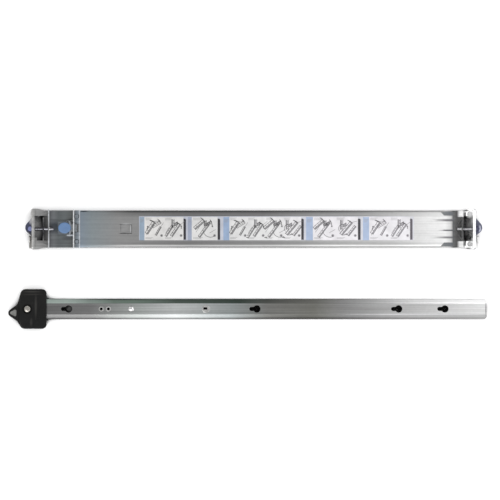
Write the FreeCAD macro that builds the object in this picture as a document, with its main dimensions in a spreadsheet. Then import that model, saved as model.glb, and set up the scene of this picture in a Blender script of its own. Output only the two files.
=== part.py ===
import FreeCAD, Part
import math
import os
import re

import Sketcher

# Telescopic server rail: the cabinet rail (a ball-bearing slide in a steel channel, with a
# tool-less bracket at each end) and the chassis rail that runs in it, laid side by side.
# X runs along the rails with the front at -X, Y across them, and Z up from the surface that
# they lie on. The origin is on that surface, midway along and across the pair.

Vector = FreeCAD.Vector
doc = FreeCAD.newDocument("ServerRailPair")

SIZES = (
    # the pair
    ("rail_spacing", 109.7),
    # cabinet rail, lengthwise
    ("flange_span", 610.0),
    ("front_inset", 32.0),
    ("channel_front", 66.5),
    ("channel_rear", 31.5),
    ("slide_front", 15.5),
    ("slide_rear", 91.5),
    ("bearing_length", 103.0),
    ("depth_travel", 254.0),
    # channel
    ("channel_height", 51.0),
    ("channel_sheet", 1.5),
    ("channel_round", 2.4),
    ("tongue_height", 37.0),
    ("tongue_length", 17.0),
    ("tongue_shoulder", 2.0),
    ("tongue_slope", 5.0),
    ("tongue_slit", 1.0),
    ("tongue_slit_length", 13.0),
    ("bead_spacing", 23.4),
    ("bead_length", 30.0),
    ("bead_width", 2.4),
    ("bead_depth", 0.5),
    ("stop_tab_place", 121.0),
    ("stop_tab_length", 16.0),
    ("stop_tab_height", 13.0),
    ("stop_tab_slit", 0.8),
    ("stop_tab_ramp", 11.0),
    # ball slide
    ("slide_height", 42.0),
    ("slide_floor_gap", 0.8),
    ("outer_sheet", 1.5),
    ("middle_sheet", 1.2),
    ("middle_bend", 0.9),
    ("ball_diameter", 3.5),
    ("ball_clearance", 0.1),
    ("cage_sheet", 0.8),
    ("cage_height", 3.6),
    ("cage_play", 0.05),
    ("cage_shift", 0.9),
    ("cage_end_gap", 1.0),
    ("ball_pitch", 18.0),
    ("balls_per_row", 6),
    ("rivet_radius", 2.5),
    ("rivet_spread", 20.0),
    ("rivet_head", 1.0),
    ("rivet_head_radius", 3.4),
    ("bracket_rivet_inset", 4.5),
    ("bracket_rivet_spread", 35.0),
    ("spacer_inset", 14.0),
    # brackets
    ("arm_sheet", 1.5),
    ("arm_clearance", 0.2),
    ("side_clearance", 0.3),
    ("stop_gap", 3.0),
    ("arm_slot_play", 0.3),
    ("rear_head_gap", 0.8),
    ("flange_height", 56.0),
    ("flange_sheet", 2.0),
    ("flange_top", 24.5),
    ("flange_corner", 3.0),
    ("web_corner", 1.0),
    ("flare_length", 6.5),
    ("flare_end", 15.0),
    ("flare_round", 5.0),
    ("waist_round", 8.0),
    ("waist_inset", 0.2),
    ("bracket_run", 30.0),
    ("tab_inset", 1.0),
    ("floor_gap", 0.4),
    ("mouth_height", 42.0),
    ("mouth_top", 9.4),
    ("rack_hole_spacing", 44.45),
    ("rack_hole_radius", 3.5),
    ("rack_hole_level", 15.6),
    ("window_height", 31.5),
    ("front_window_start", 7.0),
    ("front_window_end", 22.0),
    ("rear_window_start", 6.5),
    ("rear_window_end", 16.5),
    ("front_wall", 23.3),
    ("second_wall", 57.5),
    ("spring_wall", 16.1),
    ("wall_sheet", 1.6),
    ("wall_height", 54.0),
    ("front_wall_top", 21.0),
    ("second_wall_top", 17.5),
    ("rear_wall", 18.6),
    ("spring_wall_height", 4.4),
    ("relief_place", 8.4),
    ("relief_spread", 41.2),
    ("relief_radius", 3.6),
    ("relief_slit", 1.4),
    ("relief_slit_end", 23.0),
    ("brace_length", 8.0),
    ("brace_width", 2.0),
    ("brace_inner", 2.6),
    ("brace_outer", 13.4),
    ("brace_height", 1.2),
    ("gusset_inner", 17.2),
    ("gusset_outer", 22.2),
    ("gusset_width", 2.0),
    ("gusset_height", 1.0),
    # hooks
    ("hook_gap", 2.2),
    ("hook_sheet", 1.5),
    ("hook_width", 17.0),
    ("hook_place", 9.6),
    ("hook_finger", 9.0),
    ("hook_top", 20.0),
    ("hook_shoulder", 11.6),
    ("hook_corner", 2.0),
    # latch buttons
    ("nose_low_side", 9.0),
    ("nose_high_side", 15.4),
    ("nose_thickness", 10.4),
    ("nose_point", 12.8),
    ("nose_round", 8.6),
    ("nose_root_round", 1.0),
    ("nose_clearance", 0.4),
    ("nose_lip", 1.8),
    ("nose_lip_thickness", 1.6),
    ("nose_lip_drop", 0.8),
    ("nose_lip_clearance", 1.0),
    ("nose_edge", 1.2),
    ("boss_radius", 3.3),
    ("boss_place", 1.8),
    ("boss_height", 1.2),
    ("boss_round", 1.1),
    ("boss_across", 0.4),
    ("rod_radius", 2.0),
    ("rod_clearance", 0.1),
    ("rod_tail", 3.4),
    ("button_stroke", 5.0),
    ("clip_thickness", 0.8),
    ("clip_width", 0.9),
    ("clip_gap", 0.3),
    ("spring_wire", 0.7),
    ("spring_radius", 2.8),
    ("spring_turns", 5),
    ("spring_end_gap", 0.05),
    # release catch
    ("pad_length", 17.4),
    ("pad_height", 15.0),
    ("pad_thickness", 3.4),
    ("pad_place", 45.1),
    ("pad_offset", 1.5),
    ("pad_dish", 24.0),
    ("pad_dish_depth", 0.7),
    ("pad_edge", 1.0),
    ("pivot_place", 52.0),
    ("pivot_radius", 1.2),
    ("pivot_level", 15.2),
    ("pivot_clearance", 0.06),
    ("pivot_ear_sheet", 1.5),
    ("pivot_ear_length", 8.0),
    ("pivot_ear_rim", 1.6),
    ("lever_sheet", 1.2),
    ("lever_width", 17.6),
    ("lever_wall", 1.0),
    ("lever_front", 35.8),
    ("lever_bend", 1.0),
    ("lever_side_gap", 0.3),
    ("catch_place", 61.8),
    ("catch_width", 10.0),
    ("catch_gap", 0.4),
    ("catch_slot", 4.8),
    ("catch_side_gap", 0.6),
    ("catch_setback", 0.4),
    ("catch_headroom", 0.9),
    ("leaf_spring_sheet", 0.4),
    ("leaf_spring_width", 8.0),
    ("leaf_spring_foot", 2.5),
    ("leaf_spring_place", 2.6),
    # label
    ("label_front", 147.5),
    ("label_rear", 85.0),
    ("label_height", 33.0),
    ("label_offset", 1.0),
    ("label_sheet", 0.2),
    # chassis rail
    ("chassis_length", 657.0),
    ("chassis_front", 17.0),
    ("chassis_height", 28.6),
    ("chassis_depth", 9.5),
    ("chassis_sheet", 1.2),
    ("chassis_web", 15.6),
    ("chassis_corner", 3.0),
    ("chassis_bend", 2.0),
    ("chassis_bend_setback", 0.6),
    ("groove_bend", 1.0),
    ("groove_foot", 1.2),
    ("foot_bend", 0.9),
    ("keyhole_radius", 5.0),
    ("keyhole_slot", 5.6),
    ("keyhole_length", 10.4),
    ("keyhole_front", 82.7),
    ("keyhole_middle", 12.8),
    ("keyhole_rear", 57.5),
    ("keyhole_pitch", 63.5),
    ("eyelet_place", 127.6),
    ("eyelet_pitch", 9.8),
    ("eyelet_radius", 3.85),
    ("eyelet_hole", 2.0),
    ("eyelet_rim", 0.6),
    ("eyelet_wall", 0.6),
    ("stud_place", 168.8),
    ("stud_radius", 3.9),
    ("stud_hole_clearance", 0.3),
    ("boss_ring_place", 271.2),
    ("boss_ring_radius", 5.5),
    ("boss_ring_height", 1.0),
    ("boss_slot_length", 5.4),
    ("boss_slot_width", 3.2),
    ("boss_ring_lip", 1.3),
    ("boss_slot_shift", 0.7),
    ("boss_edge", 0.6),
    ("leaf_sheet", 0.8),
    ("leaf_width", 9.0),
    ("leaf_drop", 2.6),
    ("leaf_tail", 9.0),
    ("leaf_stop_depth", 2.2),
    ("leaf_stop_radius", 2.8),
    ("leaf_stem_radius", 2.1),
    ("leaf_stem_clearance", 0.1),
    ("leaf_overhang", 6.0),
    ("leaf_bend", 1.6),
    ("leaf_grip", 1.2),
    ("stud_dome", 1.5),
    # ear
    ("ear_height", 54.5),
    ("ear_thickness", 15.0),
    ("ear_body_front", 15.5),
    ("ear_body_rear", 52.5),
    ("ear_edge", 2.2),
    ("ear_nose_offset", 5.5),
    ("ear_nose_drop", 4.5),
    ("ear_nose_reach", 4.5),
    ("ear_nose_round", 5.5),
    ("ear_nose_half", 11.1),
    ("ear_nose_root", 12.2),
    ("ear_nose_fillet", 4.0),
    ("ear_shoulder", 3.0),
    ("ear_front_round", 7.0),
    ("ear_rear_round", 6.0),
    ("ear_front_cut", 9.0),
    ("ear_front_fillet", 5.0),
    ("ear_core_setback", 6.0),
    ("ear_floor", 1.7),
    ("grip_rib_width", 1.4),
    ("grip_rib_height", 0.7),
    ("grip_rib_rear", 38.6),
    ("grip_rib_front", 32.0),
    ("grip_rib_length", 26.5),
    ("grip_rib_edge", 2.4),
    ("grip_rib_short", 8.4),
    ("ear_wall", 2.4),
    ("ear_skin", 3.2),
    ("ear_fit", 0.15),
    ("ear_screw_place", 26.0),
    ("ear_screw_radius", 4.8),
    ("ear_screw_shank", 2.0),
    ("ear_screw_rim", 1.4),
    ("ear_screw_height", 2.8),
    ("ear_screw_tip", 1.0),
    ("cross_length", 5.2),
    ("cross_width", 1.1),
    ("cross_depth", 1.6),
    ("ear_recess_radius", 6.6),
    ("ear_nut_radius", 4.2),
    ("ear_nut_height", 2.5),
    ("inlay_sheet", 0.6),
    ("inlay_tip", 0.2),
    ("inlay_base", 11.0),
    ("inlay_half", 5.6),
    ("inlay_round", 1.8),
)

sheet = doc.addObject("Spreadsheet::Sheet", "Sizes")
for row, (alias, number) in enumerate(SIZES, 1):
    sheet.set(f"A{row}", alias)
    sheet.set(f"B{row}", str(number))
    sheet.setAlias(f"B{row}", alias)
doc.recompute()


def size(expression):
    """The value of an expression in the sheet's sizes."""
    return float(sheet.evalExpression(str(expression)))


def bind(target, name, expression):
    """Bind a property, or a constraint of a sketch, to an expression in the sheet's sizes."""
    words = re.sub(r"[a-z]+(?:_[a-z]+)+", lambda word: "Sizes." + word.group(0), str(expression))
    target.setExpression(name, words)


# ---------------------------------------------------------------- places worked out from the sizes
REAR_END = "(chassis_length / 2)"
NOSE_END = "(-chassis_length / 2)"
FRONT_FACE = "(front_inset - chassis_length / 2)"
REAR_FACE = "(front_inset - chassis_length / 2 + flange_span)"
CHANNEL_START = f"({FRONT_FACE} + channel_front)"
CHANNEL_END = f"({REAR_FACE} - channel_rear)"
SLIDE_START = f"({FRONT_FACE} + slide_front)"
SLIDE_END = f"({REAR_FACE} - slide_rear)"
SLIDE_LENGTH = f"({SLIDE_END} - {SLIDE_START})"
SLIDE_TRAVEL = f"({SLIDE_LENGTH} - bearing_length)"
STOP_TAB_START = f"({FRONT_FACE} + stop_tab_place)"
STOP_TAB_END = f"({STOP_TAB_START} + stop_tab_length)"

PAIR_WIDTH = "(flange_height / 2 + rail_spacing + ear_height / 2)"
CABINET_Y = f"({PAIR_WIDTH} / 2 - flange_height / 2)"
CHASSIS_Y = f"(ear_height / 2 - {PAIR_WIDTH} / 2)"

RACE = "(ball_diameter / 2 + ball_clearance)"
BALL_STEP = f"(({RACE} + middle_sheet / 2) * sqrt(2))"
INNER_BALL_Z = f"(slide_floor_gap + {RACE} + middle_sheet)"
OUTER_BALL_Z = f"({INNER_BALL_Z} + {BALL_STEP})"
OUTER_BALL_Y = f"(slide_height / 2 - outer_sheet - {RACE})"
INNER_BALL_Y = f"({OUTER_BALL_Y} - {BALL_STEP})"
MIDDLE_TOP = f"({OUTER_BALL_Z} + middle_bend + middle_sheet / 2)"
SLIDE_TOP = f"({OUTER_BALL_Z} + {RACE} + outer_sheet)"
GAP_LAYER = "(arm_sheet + 2 * arm_clearance)"
WEB_BOTTOM = f"({SLIDE_TOP} + {GAP_LAYER})"
WEB_TOP = f"({WEB_BOTTOM} + channel_sheet)"
CHANNEL_INSIDE = "(channel_height / 2 - channel_sheet)"
CAGE_LENGTH = "(bearing_length - 2 * cage_end_gap)"


# bends of the formed sheets, in degrees
OUTER_LIP_TURN = 145
MIDDLE_SHOULDER_TURN = 45
MIDDLE_LIP_TURN = 150
BEVEL_SLOPE = 20
GROOVE_TURN = 90
FOOT_TURN = 45
RELEASE_LEAF_TURN = 14
LOCK_LEAF_TURN = 30
LOCK_GRIP_TURN = 60

# how far a cut reaches past the face that it opens, how deep a raised form starts inside the
# sheet that it stands on, and the short straight left between two rounded corners
OVERRUN = 0.1
SINK = 0.5
HAIR = 0.01


# ---------------------------------------------------------------- sketch and feature helpers
def new_body(label, across=None):
    """A body of its own, placed on the centre line of its rail."""
    body = doc.addObject("PartDesign::Body", label)
    body.Label = label
    if across:
        bind(body, "Placement.Base.y", across)
    return body


def new_sketch(body, role, offset="0"):
    """A sketch on one of the body's own origin planes, moved along its normal by offset."""
    plane = next(item for item in body.Origin.OriginFeatures if item.Role == role)
    sketch = body.newObject("Sketcher::SketchObject", body.Name + "Sketch")
    sketch.AttachmentSupport = [(plane, "")]
    sketch.MapMode = "FlatFace"
    bind(sketch, "AttachmentOffset.Base.z", offset)
    return sketch


def at_level(body, level):
    """A sketch seen from above, at a height."""
    return new_sketch(body, "XY_Plane", level)


def across_rail(body, place):
    """A sketch of a section across the rail, at a place along it."""
    return new_sketch(body, "YZ_Plane", place)


def hold(sketch, kind, geometry, point, expression):
    """Fix a point's distance from the sketch's origin, bound to an expression."""
    index = sketch.addConstraint(Sketcher.Constraint(kind, -1, 1, geometry, point, size(expression)))
    bind(sketch, f"Constraints[{index}]", expression)


def rectangle(sketch, left, low, right, high):
    """A rectangle whose four sides are bound to expressions."""
    x0, y0, x1, y1 = (size(side) for side in (left, low, right, high))
    corners = [Vector(x0, y0, 0), Vector(x1, y0, 0), Vector(x1, y1, 0), Vector(x0, y1, 0)]
    first = sketch.GeometryCount
    for step in range(4):
        sketch.addGeometry(Part.LineSegment(corners[step], corners[(step + 1) % 4]), False)
    for step in range(4):
        following = first + (step + 1) % 4
        sketch.addConstraint(Sketcher.Constraint("Coincident", first + step, 2, following, 1))
    for step, kind in enumerate(("Horizontal", "Vertical", "Horizontal", "Vertical")):
        sketch.addConstraint(Sketcher.Constraint(kind, first + step))
    hold(sketch, "DistanceX", first, 1, left)
    hold(sketch, "DistanceY", first, 1, low)
    hold(sketch, "DistanceX", first + 1, 2, right)
    hold(sketch, "DistanceY", first + 1, 2, high)


def circle(sketch, x, y, radius):
    """A circle whose centre and radius are bound to expressions."""
    centre = Vector(size(x), size(y), 0)
    index = sketch.addGeometry(Part.Circle(centre, Vector(0, 0, 1), size(radius)), False)
    hold(sketch, "DistanceX", index, 3, x)
    hold(sketch, "DistanceY", index, 3, y)
    rule = sketch.addConstraint(Sketcher.Constraint("Radius", index, size(radius)))
    bind(sketch, f"Constraints[{rule}]", radius)


def rounded_edges(corners):
    """Edges of a closed outline: each corner is x, y and the radius that rounds it."""
    points = [Vector(size(x), size(y), 0) for x, y, radius in corners]
    radii = [size(radius) for x, y, radius in corners]
    spans = []
    for index, point in enumerate(points):
        before = (points[index - 1] - point).normalize()
        after = (points[(index + 1) % len(points)] - point).normalize()
        half = before.getAngle(after) / 2
        if radii[index] == 0:
            spans.append((point, None, point))
            continue
        run = radii[index] / math.tan(half)
        bisector = (before + after).normalize()
        middle = point + bisector * (radii[index] / math.sin(half) - radii[index])
        spans.append((point + before * run, middle, point + after * run))
    edges = []
    for index, (start, middle, end) in enumerate(spans):
        if middle is not None:
            edges.append(Part.Arc(start, middle, end))
        following = spans[(index + 1) % len(spans)][0]
        if (following - end).Length > 1e-6:
            edges.append(Part.LineSegment(end, following))
    return edges


def outline(sketch, corners):
    """Draw a closed outline with rounded corners."""
    sketch.addGeometry(rounded_edges(corners), False)


def formed_edges(start, heading, steps, thickness, closed_start):
    """Edges of a formed sheet's section, following its middle line: a number is a straight
    run, and a pair is a bend's radius and angle, anticlockwise where the angle is positive."""
    edges = []
    ends = []
    for side in (thickness / 2, -thickness / 2):
        point = Vector(start[0], start[1], 0)
        angle = math.radians(heading)
        left = Vector(-math.sin(angle), math.cos(angle), 0)
        first = point + left * side
        for step in steps:
            left = Vector(-math.sin(angle), math.cos(angle), 0)
            begin = point + left * side
            if isinstance(step, tuple):
                radius, turn = step[0], math.radians(step[1])
                way = math.copysign(1, turn)
                centre = point + left * (radius * way)
                arm = -left * (radius * way)
                reach = (radius - way * side) / radius
                turned = [
                    FreeCAD.Rotation(Vector(0, 0, 1), math.degrees(part)).multVec(arm)
                    for part in (turn / 2, turn)
                ]
                edges.append(Part.Arc(begin, centre + turned[0] * reach, centre + turned[1] * reach))
                point = centre + turned[1]
                angle += turn
            else:
                along = Vector(math.cos(angle), math.sin(angle), 0)
                edges.append(Part.LineSegment(begin, begin + along * step))
                point = point + along * step
        left = Vector(-math.sin(angle), math.cos(angle), 0)
        ends.append((first, point + left * side))
    edges.append(Part.LineSegment(ends[0][1], ends[1][1]))
    if closed_start:
        edges.append(Part.LineSegment(ends[0][0], ends[1][0]))
    return edges


def mirrored(edges):
    """The same edges on the other side of the sketch's vertical axis."""
    copies = []
    for edge in edges:
        ends = [edge.StartPoint, edge.EndPoint]
        if isinstance(edge, Part.LineSegment):
            copies.append(Part.LineSegment(*[Vector(-end.x, end.y, 0) for end in ends]))
        else:
            curve = edge.toShape()
            middle = curve.valueAt((curve.FirstParameter + curve.LastParameter) / 2)
            three = (ends[0], middle, ends[1])
            copies.append(Part.Arc(*[Vector(-spot.x, spot.y, 0) for spot in three]))
    return copies


def sheet_section(sketch, start, steps, thickness):
    """A section that is the same on both sides, drawn from its middle out to one edge."""
    half = formed_edges(start, 0, steps, thickness, False)
    sketch.addGeometry(half + mirrored(half), False)


def pad(body, sketch, length, symmetric=False, reverse=False):
    """Extrude a sketch by a bound length."""
    feature = body.newObject("PartDesign::Pad", body.Name + "Pad")
    feature.Profile = sketch
    feature.Reversed = reverse
    feature.Midplane = symmetric
    bind(feature, "Length", length)
    return feature


def cut(body, sketch, length, symmetric=False, reverse=False):
    """Cut a sketch out by a bound length, and check that it takes something away."""
    doc.recompute()
    before = body.Shape.Volume
    feature = body.newObject("PartDesign::Pocket", body.Name + "Pocket")
    feature.Profile = sketch
    feature.Reversed = reverse
    feature.Midplane = symmetric
    bind(feature, "Length", length)
    doc.recompute()
    if body.Shape.Volume > before - 1e-3:
        raise ValueError(f"{feature.Label} cuts nothing")
    return feature


def upward(body, level, top, draw):
    """Pad a plan outline from one height up to another."""
    sketch = at_level(body, level)
    draw(sketch)
    return pad(body, sketch, f"{top} - ({level})")


def opening(body, level, top, draw):
    """Cut a plan outline away between two heights."""
    sketch = at_level(body, level)
    draw(sketch)
    return cut(body, sketch, f"{top} - ({level})", reverse=True)


def lengthwise(body, start, end, draw):
    """Pad a section from one place along the rail to another."""
    sketch = across_rail(body, start)
    draw(sketch)
    return pad(body, sketch, f"{end} - ({start})")


def bore(body, start, end, draw):
    """Cut a section away between two places along the rail."""
    sketch = across_rail(body, start)
    draw(sketch)
    return cut(body, sketch, f"{end} - ({start})", reverse=True)


def round_edges(body, feature, picked, radius):
    """Round the edges that the test picks."""
    doc.recompute()
    names = [f"Edge{number}" for number, edge in enumerate(feature.Shape.Edges, 1) if picked(edge)]
    fillet = body.newObject("PartDesign::Fillet", body.Name + "Fillet")
    fillet.Base = (feature, names)
    bind(fillet, "Radius", radius)
    return fillet


# ---------------------------------------------------------------- cabinet channel
def cabinet_channel():
    body = new_body("cabinet_channel", CABINET_Y)
    half = "channel_height / 2"

    def section(sketch):
        rectangle(sketch, f"-{half}", "0", half, WEB_TOP)

    def inside(sketch):
        rectangle(sketch, f"-{CHANNEL_INSIDE}", "-channel_sheet", CHANNEL_INSIDE, WEB_BOTTOM)

    solid = lengthwise(body, CHANNEL_START, CHANNEL_END, section)
    solid = round_edges(body, solid, top_long_edge, "channel_round")
    bore(body, CHANNEL_START, CHANNEL_END, inside)

    # the rear corners of the web are cut away, which leaves a tongue
    tongue = f"{CHANNEL_END} - tongue_length"
    past_end = f"{CHANNEL_END} + {OVERRUN}"
    below, above = f"{WEB_BOTTOM} - {OVERRUN}", f"{WEB_TOP} + {OVERRUN}"
    for way in (1, -1):
        edge = f"{way} * {half}"
        shoulder = f"{way} * tongue_height / 2"
        corners = [
            (tongue, f"{edge} + {way} * {OVERRUN}", "0"),
            (tongue, f"{edge} - {way} * tongue_shoulder", "0"),
            (f"{tongue} + tongue_slope", shoulder, "0"),
            (past_end, shoulder, "0"),
            (past_end, f"{edge} + {way} * {OVERRUN}", "0"),
        ]
        opening(body, below, above, lambda sketch: outline(sketch, corners))
    opening(
        body, below, above,
        lambda sketch: rectangle(
            sketch, f"{CHANNEL_END} - tongue_slit_length", "-2 * tongue_slit",
            past_end, "-tongue_slit",
        ),
    )

    # two shallow beads stiffen the rear of the web
    for way in (1, -1):
        middle = f"{way} * bead_spacing / 2"
        opening(
            body, f"{WEB_TOP} - bead_depth", above,
            lambda sketch: rectangle(
                sketch, f"{CHANNEL_END} - bead_length", f"{middle} - bead_width / 2",
                past_end, f"{middle} + bead_width / 2",
            ),
        )

    # the stop tab is lanced out of the web on three sides and set down into the gap under it
    opening(
        body, below, above,
        lambda sketch: rectangle(
            sketch, STOP_TAB_START, "-stop_tab_height / 2",
            f"{STOP_TAB_END} + stop_tab_slit", "stop_tab_height / 2",
        ),
    )
    lowered = f"({GAP_LAYER} - arm_clearance)"
    sketch = new_sketch(body, "XZ_Plane")
    corners = [
        (f"{STOP_TAB_START} - arm_clearance", WEB_BOTTOM, "0"),
        (f"{STOP_TAB_START} + stop_tab_ramp", f"{WEB_BOTTOM} - {lowered}", "0"),
        (STOP_TAB_END, f"{WEB_BOTTOM} - {lowered}", "0"),
        (STOP_TAB_END, f"{WEB_TOP} - {lowered}", "0"),
        (f"{STOP_TAB_START} + stop_tab_ramp", f"{WEB_TOP} - {lowered}", "0"),
        (f"{STOP_TAB_START} - arm_clearance", WEB_TOP, "0"),
    ]
    outline(sketch, corners)
    pad(body, sketch, "stop_tab_height - 2 * stop_tab_slit", symmetric=True)

    for hole_x, hole_y in spacer_places():
        opening(
            body, below, above,
            lambda sketch: circle(sketch, hole_x, hole_y, "rivet_radius"),
        )
    return body


def top_long_edge(edge):
    """The two long outer corners of the channel's web."""
    box = edge.BoundBox
    return box.XLength > 1 and abs(box.ZMin - size(WEB_TOP)) < 1e-6 and box.ZLength < 1e-6


def spacer_places():
    """Where rivets through the arm's slots tie the channel to the ball slide."""
    place = f"({SLIDE_END} - spacer_inset)"
    return [(place, f"{way} * rivet_spread / 2") for way in (1, -1)]


def bracket_rivet_places():
    """Where the front bracket is riveted to the ball slide."""
    place = f"({CHANNEL_START} - bracket_rivet_inset)"
    return [(place, f"{way} * bracket_rivet_spread / 2") for way in (1, -1)]


# ---------------------------------------------------------------- ball slide
def slide_outer_member():
    body = new_body("slide_outer_member", CABINET_Y)
    sketch = across_rail(body, SLIDE_START)
    race = size(RACE)
    thickness = size("outer_sheet")
    flat = size(OUTER_BALL_Y)
    steps = [flat, (race + thickness / 2, -OUTER_LIP_TURN)]
    sheet_section(sketch, (0, size(SLIDE_TOP) - thickness / 2), steps, thickness)
    pad(body, sketch, SLIDE_LENGTH)
    for hole_x, hole_y in spacer_places() + bracket_rivet_places():
        opening(
            body, f"{SLIDE_TOP} - outer_sheet - {OVERRUN}", f"{SLIDE_TOP} + {OVERRUN}",
            lambda sketch: circle(sketch, hole_x, hole_y, "rivet_radius"),
        )
    catch_window(body, f"{SLIDE_TOP} - outer_sheet", SLIDE_TOP, "catch_place")
    return body


def catch_window(body, low, top, place):
    """A window through a flat sheet for the release lever's catch."""
    half = "(catch_width / 2 + catch_side_gap)"
    opening(
        body, f"{low} - {OVERRUN}", f"{top} + {OVERRUN}",
        lambda sketch: rectangle(
            sketch, f"{FRONT_FACE} + {place} - catch_slot / 2", f"pad_offset - {half}",
            f"{FRONT_FACE} + {place} + catch_slot / 2", f"pad_offset + {half}",
        ),
    )


def slide_middle_member():
    body = new_body("slide_middle_member", CABINET_Y)
    sketch = across_rail(body, SLIDE_START)
    middle_line = size(RACE) + size("middle_sheet") / 2
    bend = size("middle_bend")
    flat = size(OUTER_BALL_Y) - middle_line - bend
    steps = [
        flat, (bend, -90), (middle_line, MIDDLE_SHOULDER_TURN), (middle_line, -MIDDLE_LIP_TURN),
    ]
    start = (0, size(MIDDLE_TOP) - size("middle_sheet") / 2)
    sheet_section(sketch, start, steps, size("middle_sheet"))
    pad(body, sketch, SLIDE_LENGTH)
    # the catch drops through this window when the slide is pulled out in full
    catch_window(body, f"{MIDDLE_TOP} - middle_sheet", MIDDLE_TOP, f"catch_place + {SLIDE_TRAVEL}")
    return body


def ball_rows(start, across, level):
    """Ball centres of a cage's two rows."""
    count = int(size("balls_per_row"))
    pitch = size("ball_pitch")
    first = size(start) + size(CAGE_LENGTH) / 2 - pitch * (count - 1) / 2
    return [
        Vector(first + pitch * step, way * size(across) + size(CABINET_Y), size(level))
        for way in (1, -1)
        for step in range(count)
    ]


def ball_cage(label, start, across, level, way_up):
    """Two pressed strips with a hole round each ball, and the balls in them."""
    strips = []
    low = size(level) - size("cage_height") / 2 + way_up * size("cage_shift")
    for way in (1, -1):
        corner = Vector(size(start), way * size(across) + size(CABINET_Y) - size("cage_sheet") / 2, low)
        strips.append(Part.makeBox(size(CAGE_LENGTH), size("cage_sheet"), size("cage_height"), corner))
    centres = ball_rows(start, across, level)
    radius = size("ball_diameter") / 2
    through = Vector(0, size("cage_sheet"), 0)
    holes = [
        Part.makeCylinder(radius + size("cage_play"), 2 * through.y, centre - through, through)
        for centre in centres
    ]
    cage = doc.addObject("Part::Feature", label + "_ball_cages")
    cage.Shape = Part.makeCompound([strip.cut(Part.makeCompound(holes)) for strip in strips])
    cage.Label = label + "_ball_cages"
    balls = doc.addObject("Part::Feature", label + "_balls")
    balls.Shape = Part.makeCompound([Part.makeSphere(radius, centre) for centre in centres])
    balls.Label = label + "_balls"
    return [cage, balls]


def spacer_rivets():
    rivets = doc.addObject("Part::Feature", "spacer_rivets")
    shanks = []
    for place_x, place_y in spacer_places():
        foot = Vector(size(place_x), size(place_y) + size(CABINET_Y), size(SLIDE_TOP) - size("outer_sheet"))
        length = size(WEB_TOP) - foot.z
        shanks.append(Part.makeCylinder(size("rivet_radius"), length, foot))
    rivets.Shape = Part.makeCompound(shanks)
    rivets.Label = "spacer_rivets"
    return rivets


def bracket_rivets():
    rivets = doc.addObject("Part::Feature", "bracket_rivets")
    pins = []
    radius = size("rivet_radius")
    for place_x, place_y in bracket_rivet_places():
        foot = Vector(size(place_x), size(place_y) + size(CABINET_Y), size(SLIDE_TOP) - size("outer_sheet"))
        shank = Part.makeCylinder(radius, size(WEB_BOTTOM) - foot.z, foot)
        head_foot = Vector(foot.x, foot.y, size(WEB_BOTTOM))
        head = Part.makeCone(size("rivet_head_radius"), radius, size("rivet_head"), head_foot)
        pins.append(shank.fuse(head).removeSplitter())
    rivets.Shape = Part.makeCompound(pins)
    rivets.Label = "bracket_rivets"
    return rivets


# ---------------------------------------------------------------- brackets and their latches
class End:
    """One end of the cabinet rail. Places are distances back from the flange's outer face, so
    that the same pieces are drawn for both ends, mirrored."""

    def __init__(self, name, face, way, spring_wall, last_wall, level):
        self.name = name
        self.face = face
        self.way = way
        self.spring_wall = spring_wall
        self.last_wall = last_wall
        self.level = level

    def place(self, distance):
        return f"({self.face} + {self.way} * ({distance}))"

    def span(self, near, far):
        """Two places in the order in which X grows."""
        ends = (self.place(near), self.place(far))
        return ends if self.way > 0 else ends[::-1]


FRONT = End("front", FRONT_FACE, 1, "spring_wall", "front_wall", SLIDE_TOP)
REAR = End("rear", REAR_FACE, -1, "rear_wall", "rear_wall", f"({SLIDE_TOP} + arm_clearance)")

SPRING_WALL_TOP = "(rack_hole_level + spring_wall_height)"
NOSE_LOW = "(rack_hole_level - nose_thickness / 2)"
NOSE_HIGH = "(rack_hole_level + nose_thickness / 2)"
LIP_BACK = "(flange_sheet + nose_lip_thickness)"
TAB_LOW = "-(nose_low_side + nose_lip + nose_lip_clearance)"
TAB_HIGH = "(nose_high_side + nose_lip + nose_lip_clearance)"


def plate_across(body, end, middle, low, high, half_width):
    """A wall that stands across the rail, with a guide hole for the latch rod."""
    start, stop = end.span(f"{middle} - wall_sheet / 2", f"{middle} + wall_sheet / 2")
    lengthwise(body, start, stop, lambda sketch: rectangle(sketch, f"-{half_width}", low, half_width, high))


def rod_hole(body, end, middle):
    start, stop = end.span(f"{middle} - wall_sheet", f"{middle} + wall_sheet")
    radius = "rod_radius + rod_clearance"
    bore(body, start, stop, lambda sketch: circle(sketch, "0", "rack_hole_level", radius))


def bracket_head(body, end, side_low, head_end, sheet_top):
    """The folded box behind a flange: web, side walls and the tab that carries the flange."""
    flare = "(flange_height / 2)"
    edge = "(channel_height / 2)"
    web = [
        (end.place("flange_sheet"), f"-{flare}", "web_corner"),
        (end.place("flange_sheet"), flare, "web_corner"),
        (end.place("flange_sheet + flare_length"), flare, "flare_round"),
        (end.place("flange_sheet + flare_end"), f"{edge} - waist_inset", "waist_round"),
        (end.place(head_end), edge, "0"),
        (end.place(head_end), f"-{edge}", "0"),
        (end.place("flange_sheet + flare_end"), f"-({edge} - waist_inset)", "waist_round"),
        (end.place("flange_sheet + flare_length"), f"-{flare}", "flare_round"),
    ]
    upward(body, end.level, sheet_top, lambda sketch: outline(sketch, web))
    start, stop = end.span("flange_sheet", head_end)
    for side in (1, -1):
        outer = f"{side} * {edge}"
        inner = f"{side} * ({edge} - wall_sheet)"
        upward(body, side_low, end.level, lambda sketch: rectangle(sketch, start, inner, stop, outer))
    tab = end.span("flange_sheet", f"flange_sheet + {GAP_LAYER}")
    half = f"({flare} - tab_inset)"
    lengthwise(
        body, *tab,
        lambda sketch: rectangle(
            sketch, f"-{half}", f"{sheet_top} - {SINK}", half, "flange_top - tab_inset / 2",
        ),
    )


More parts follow.
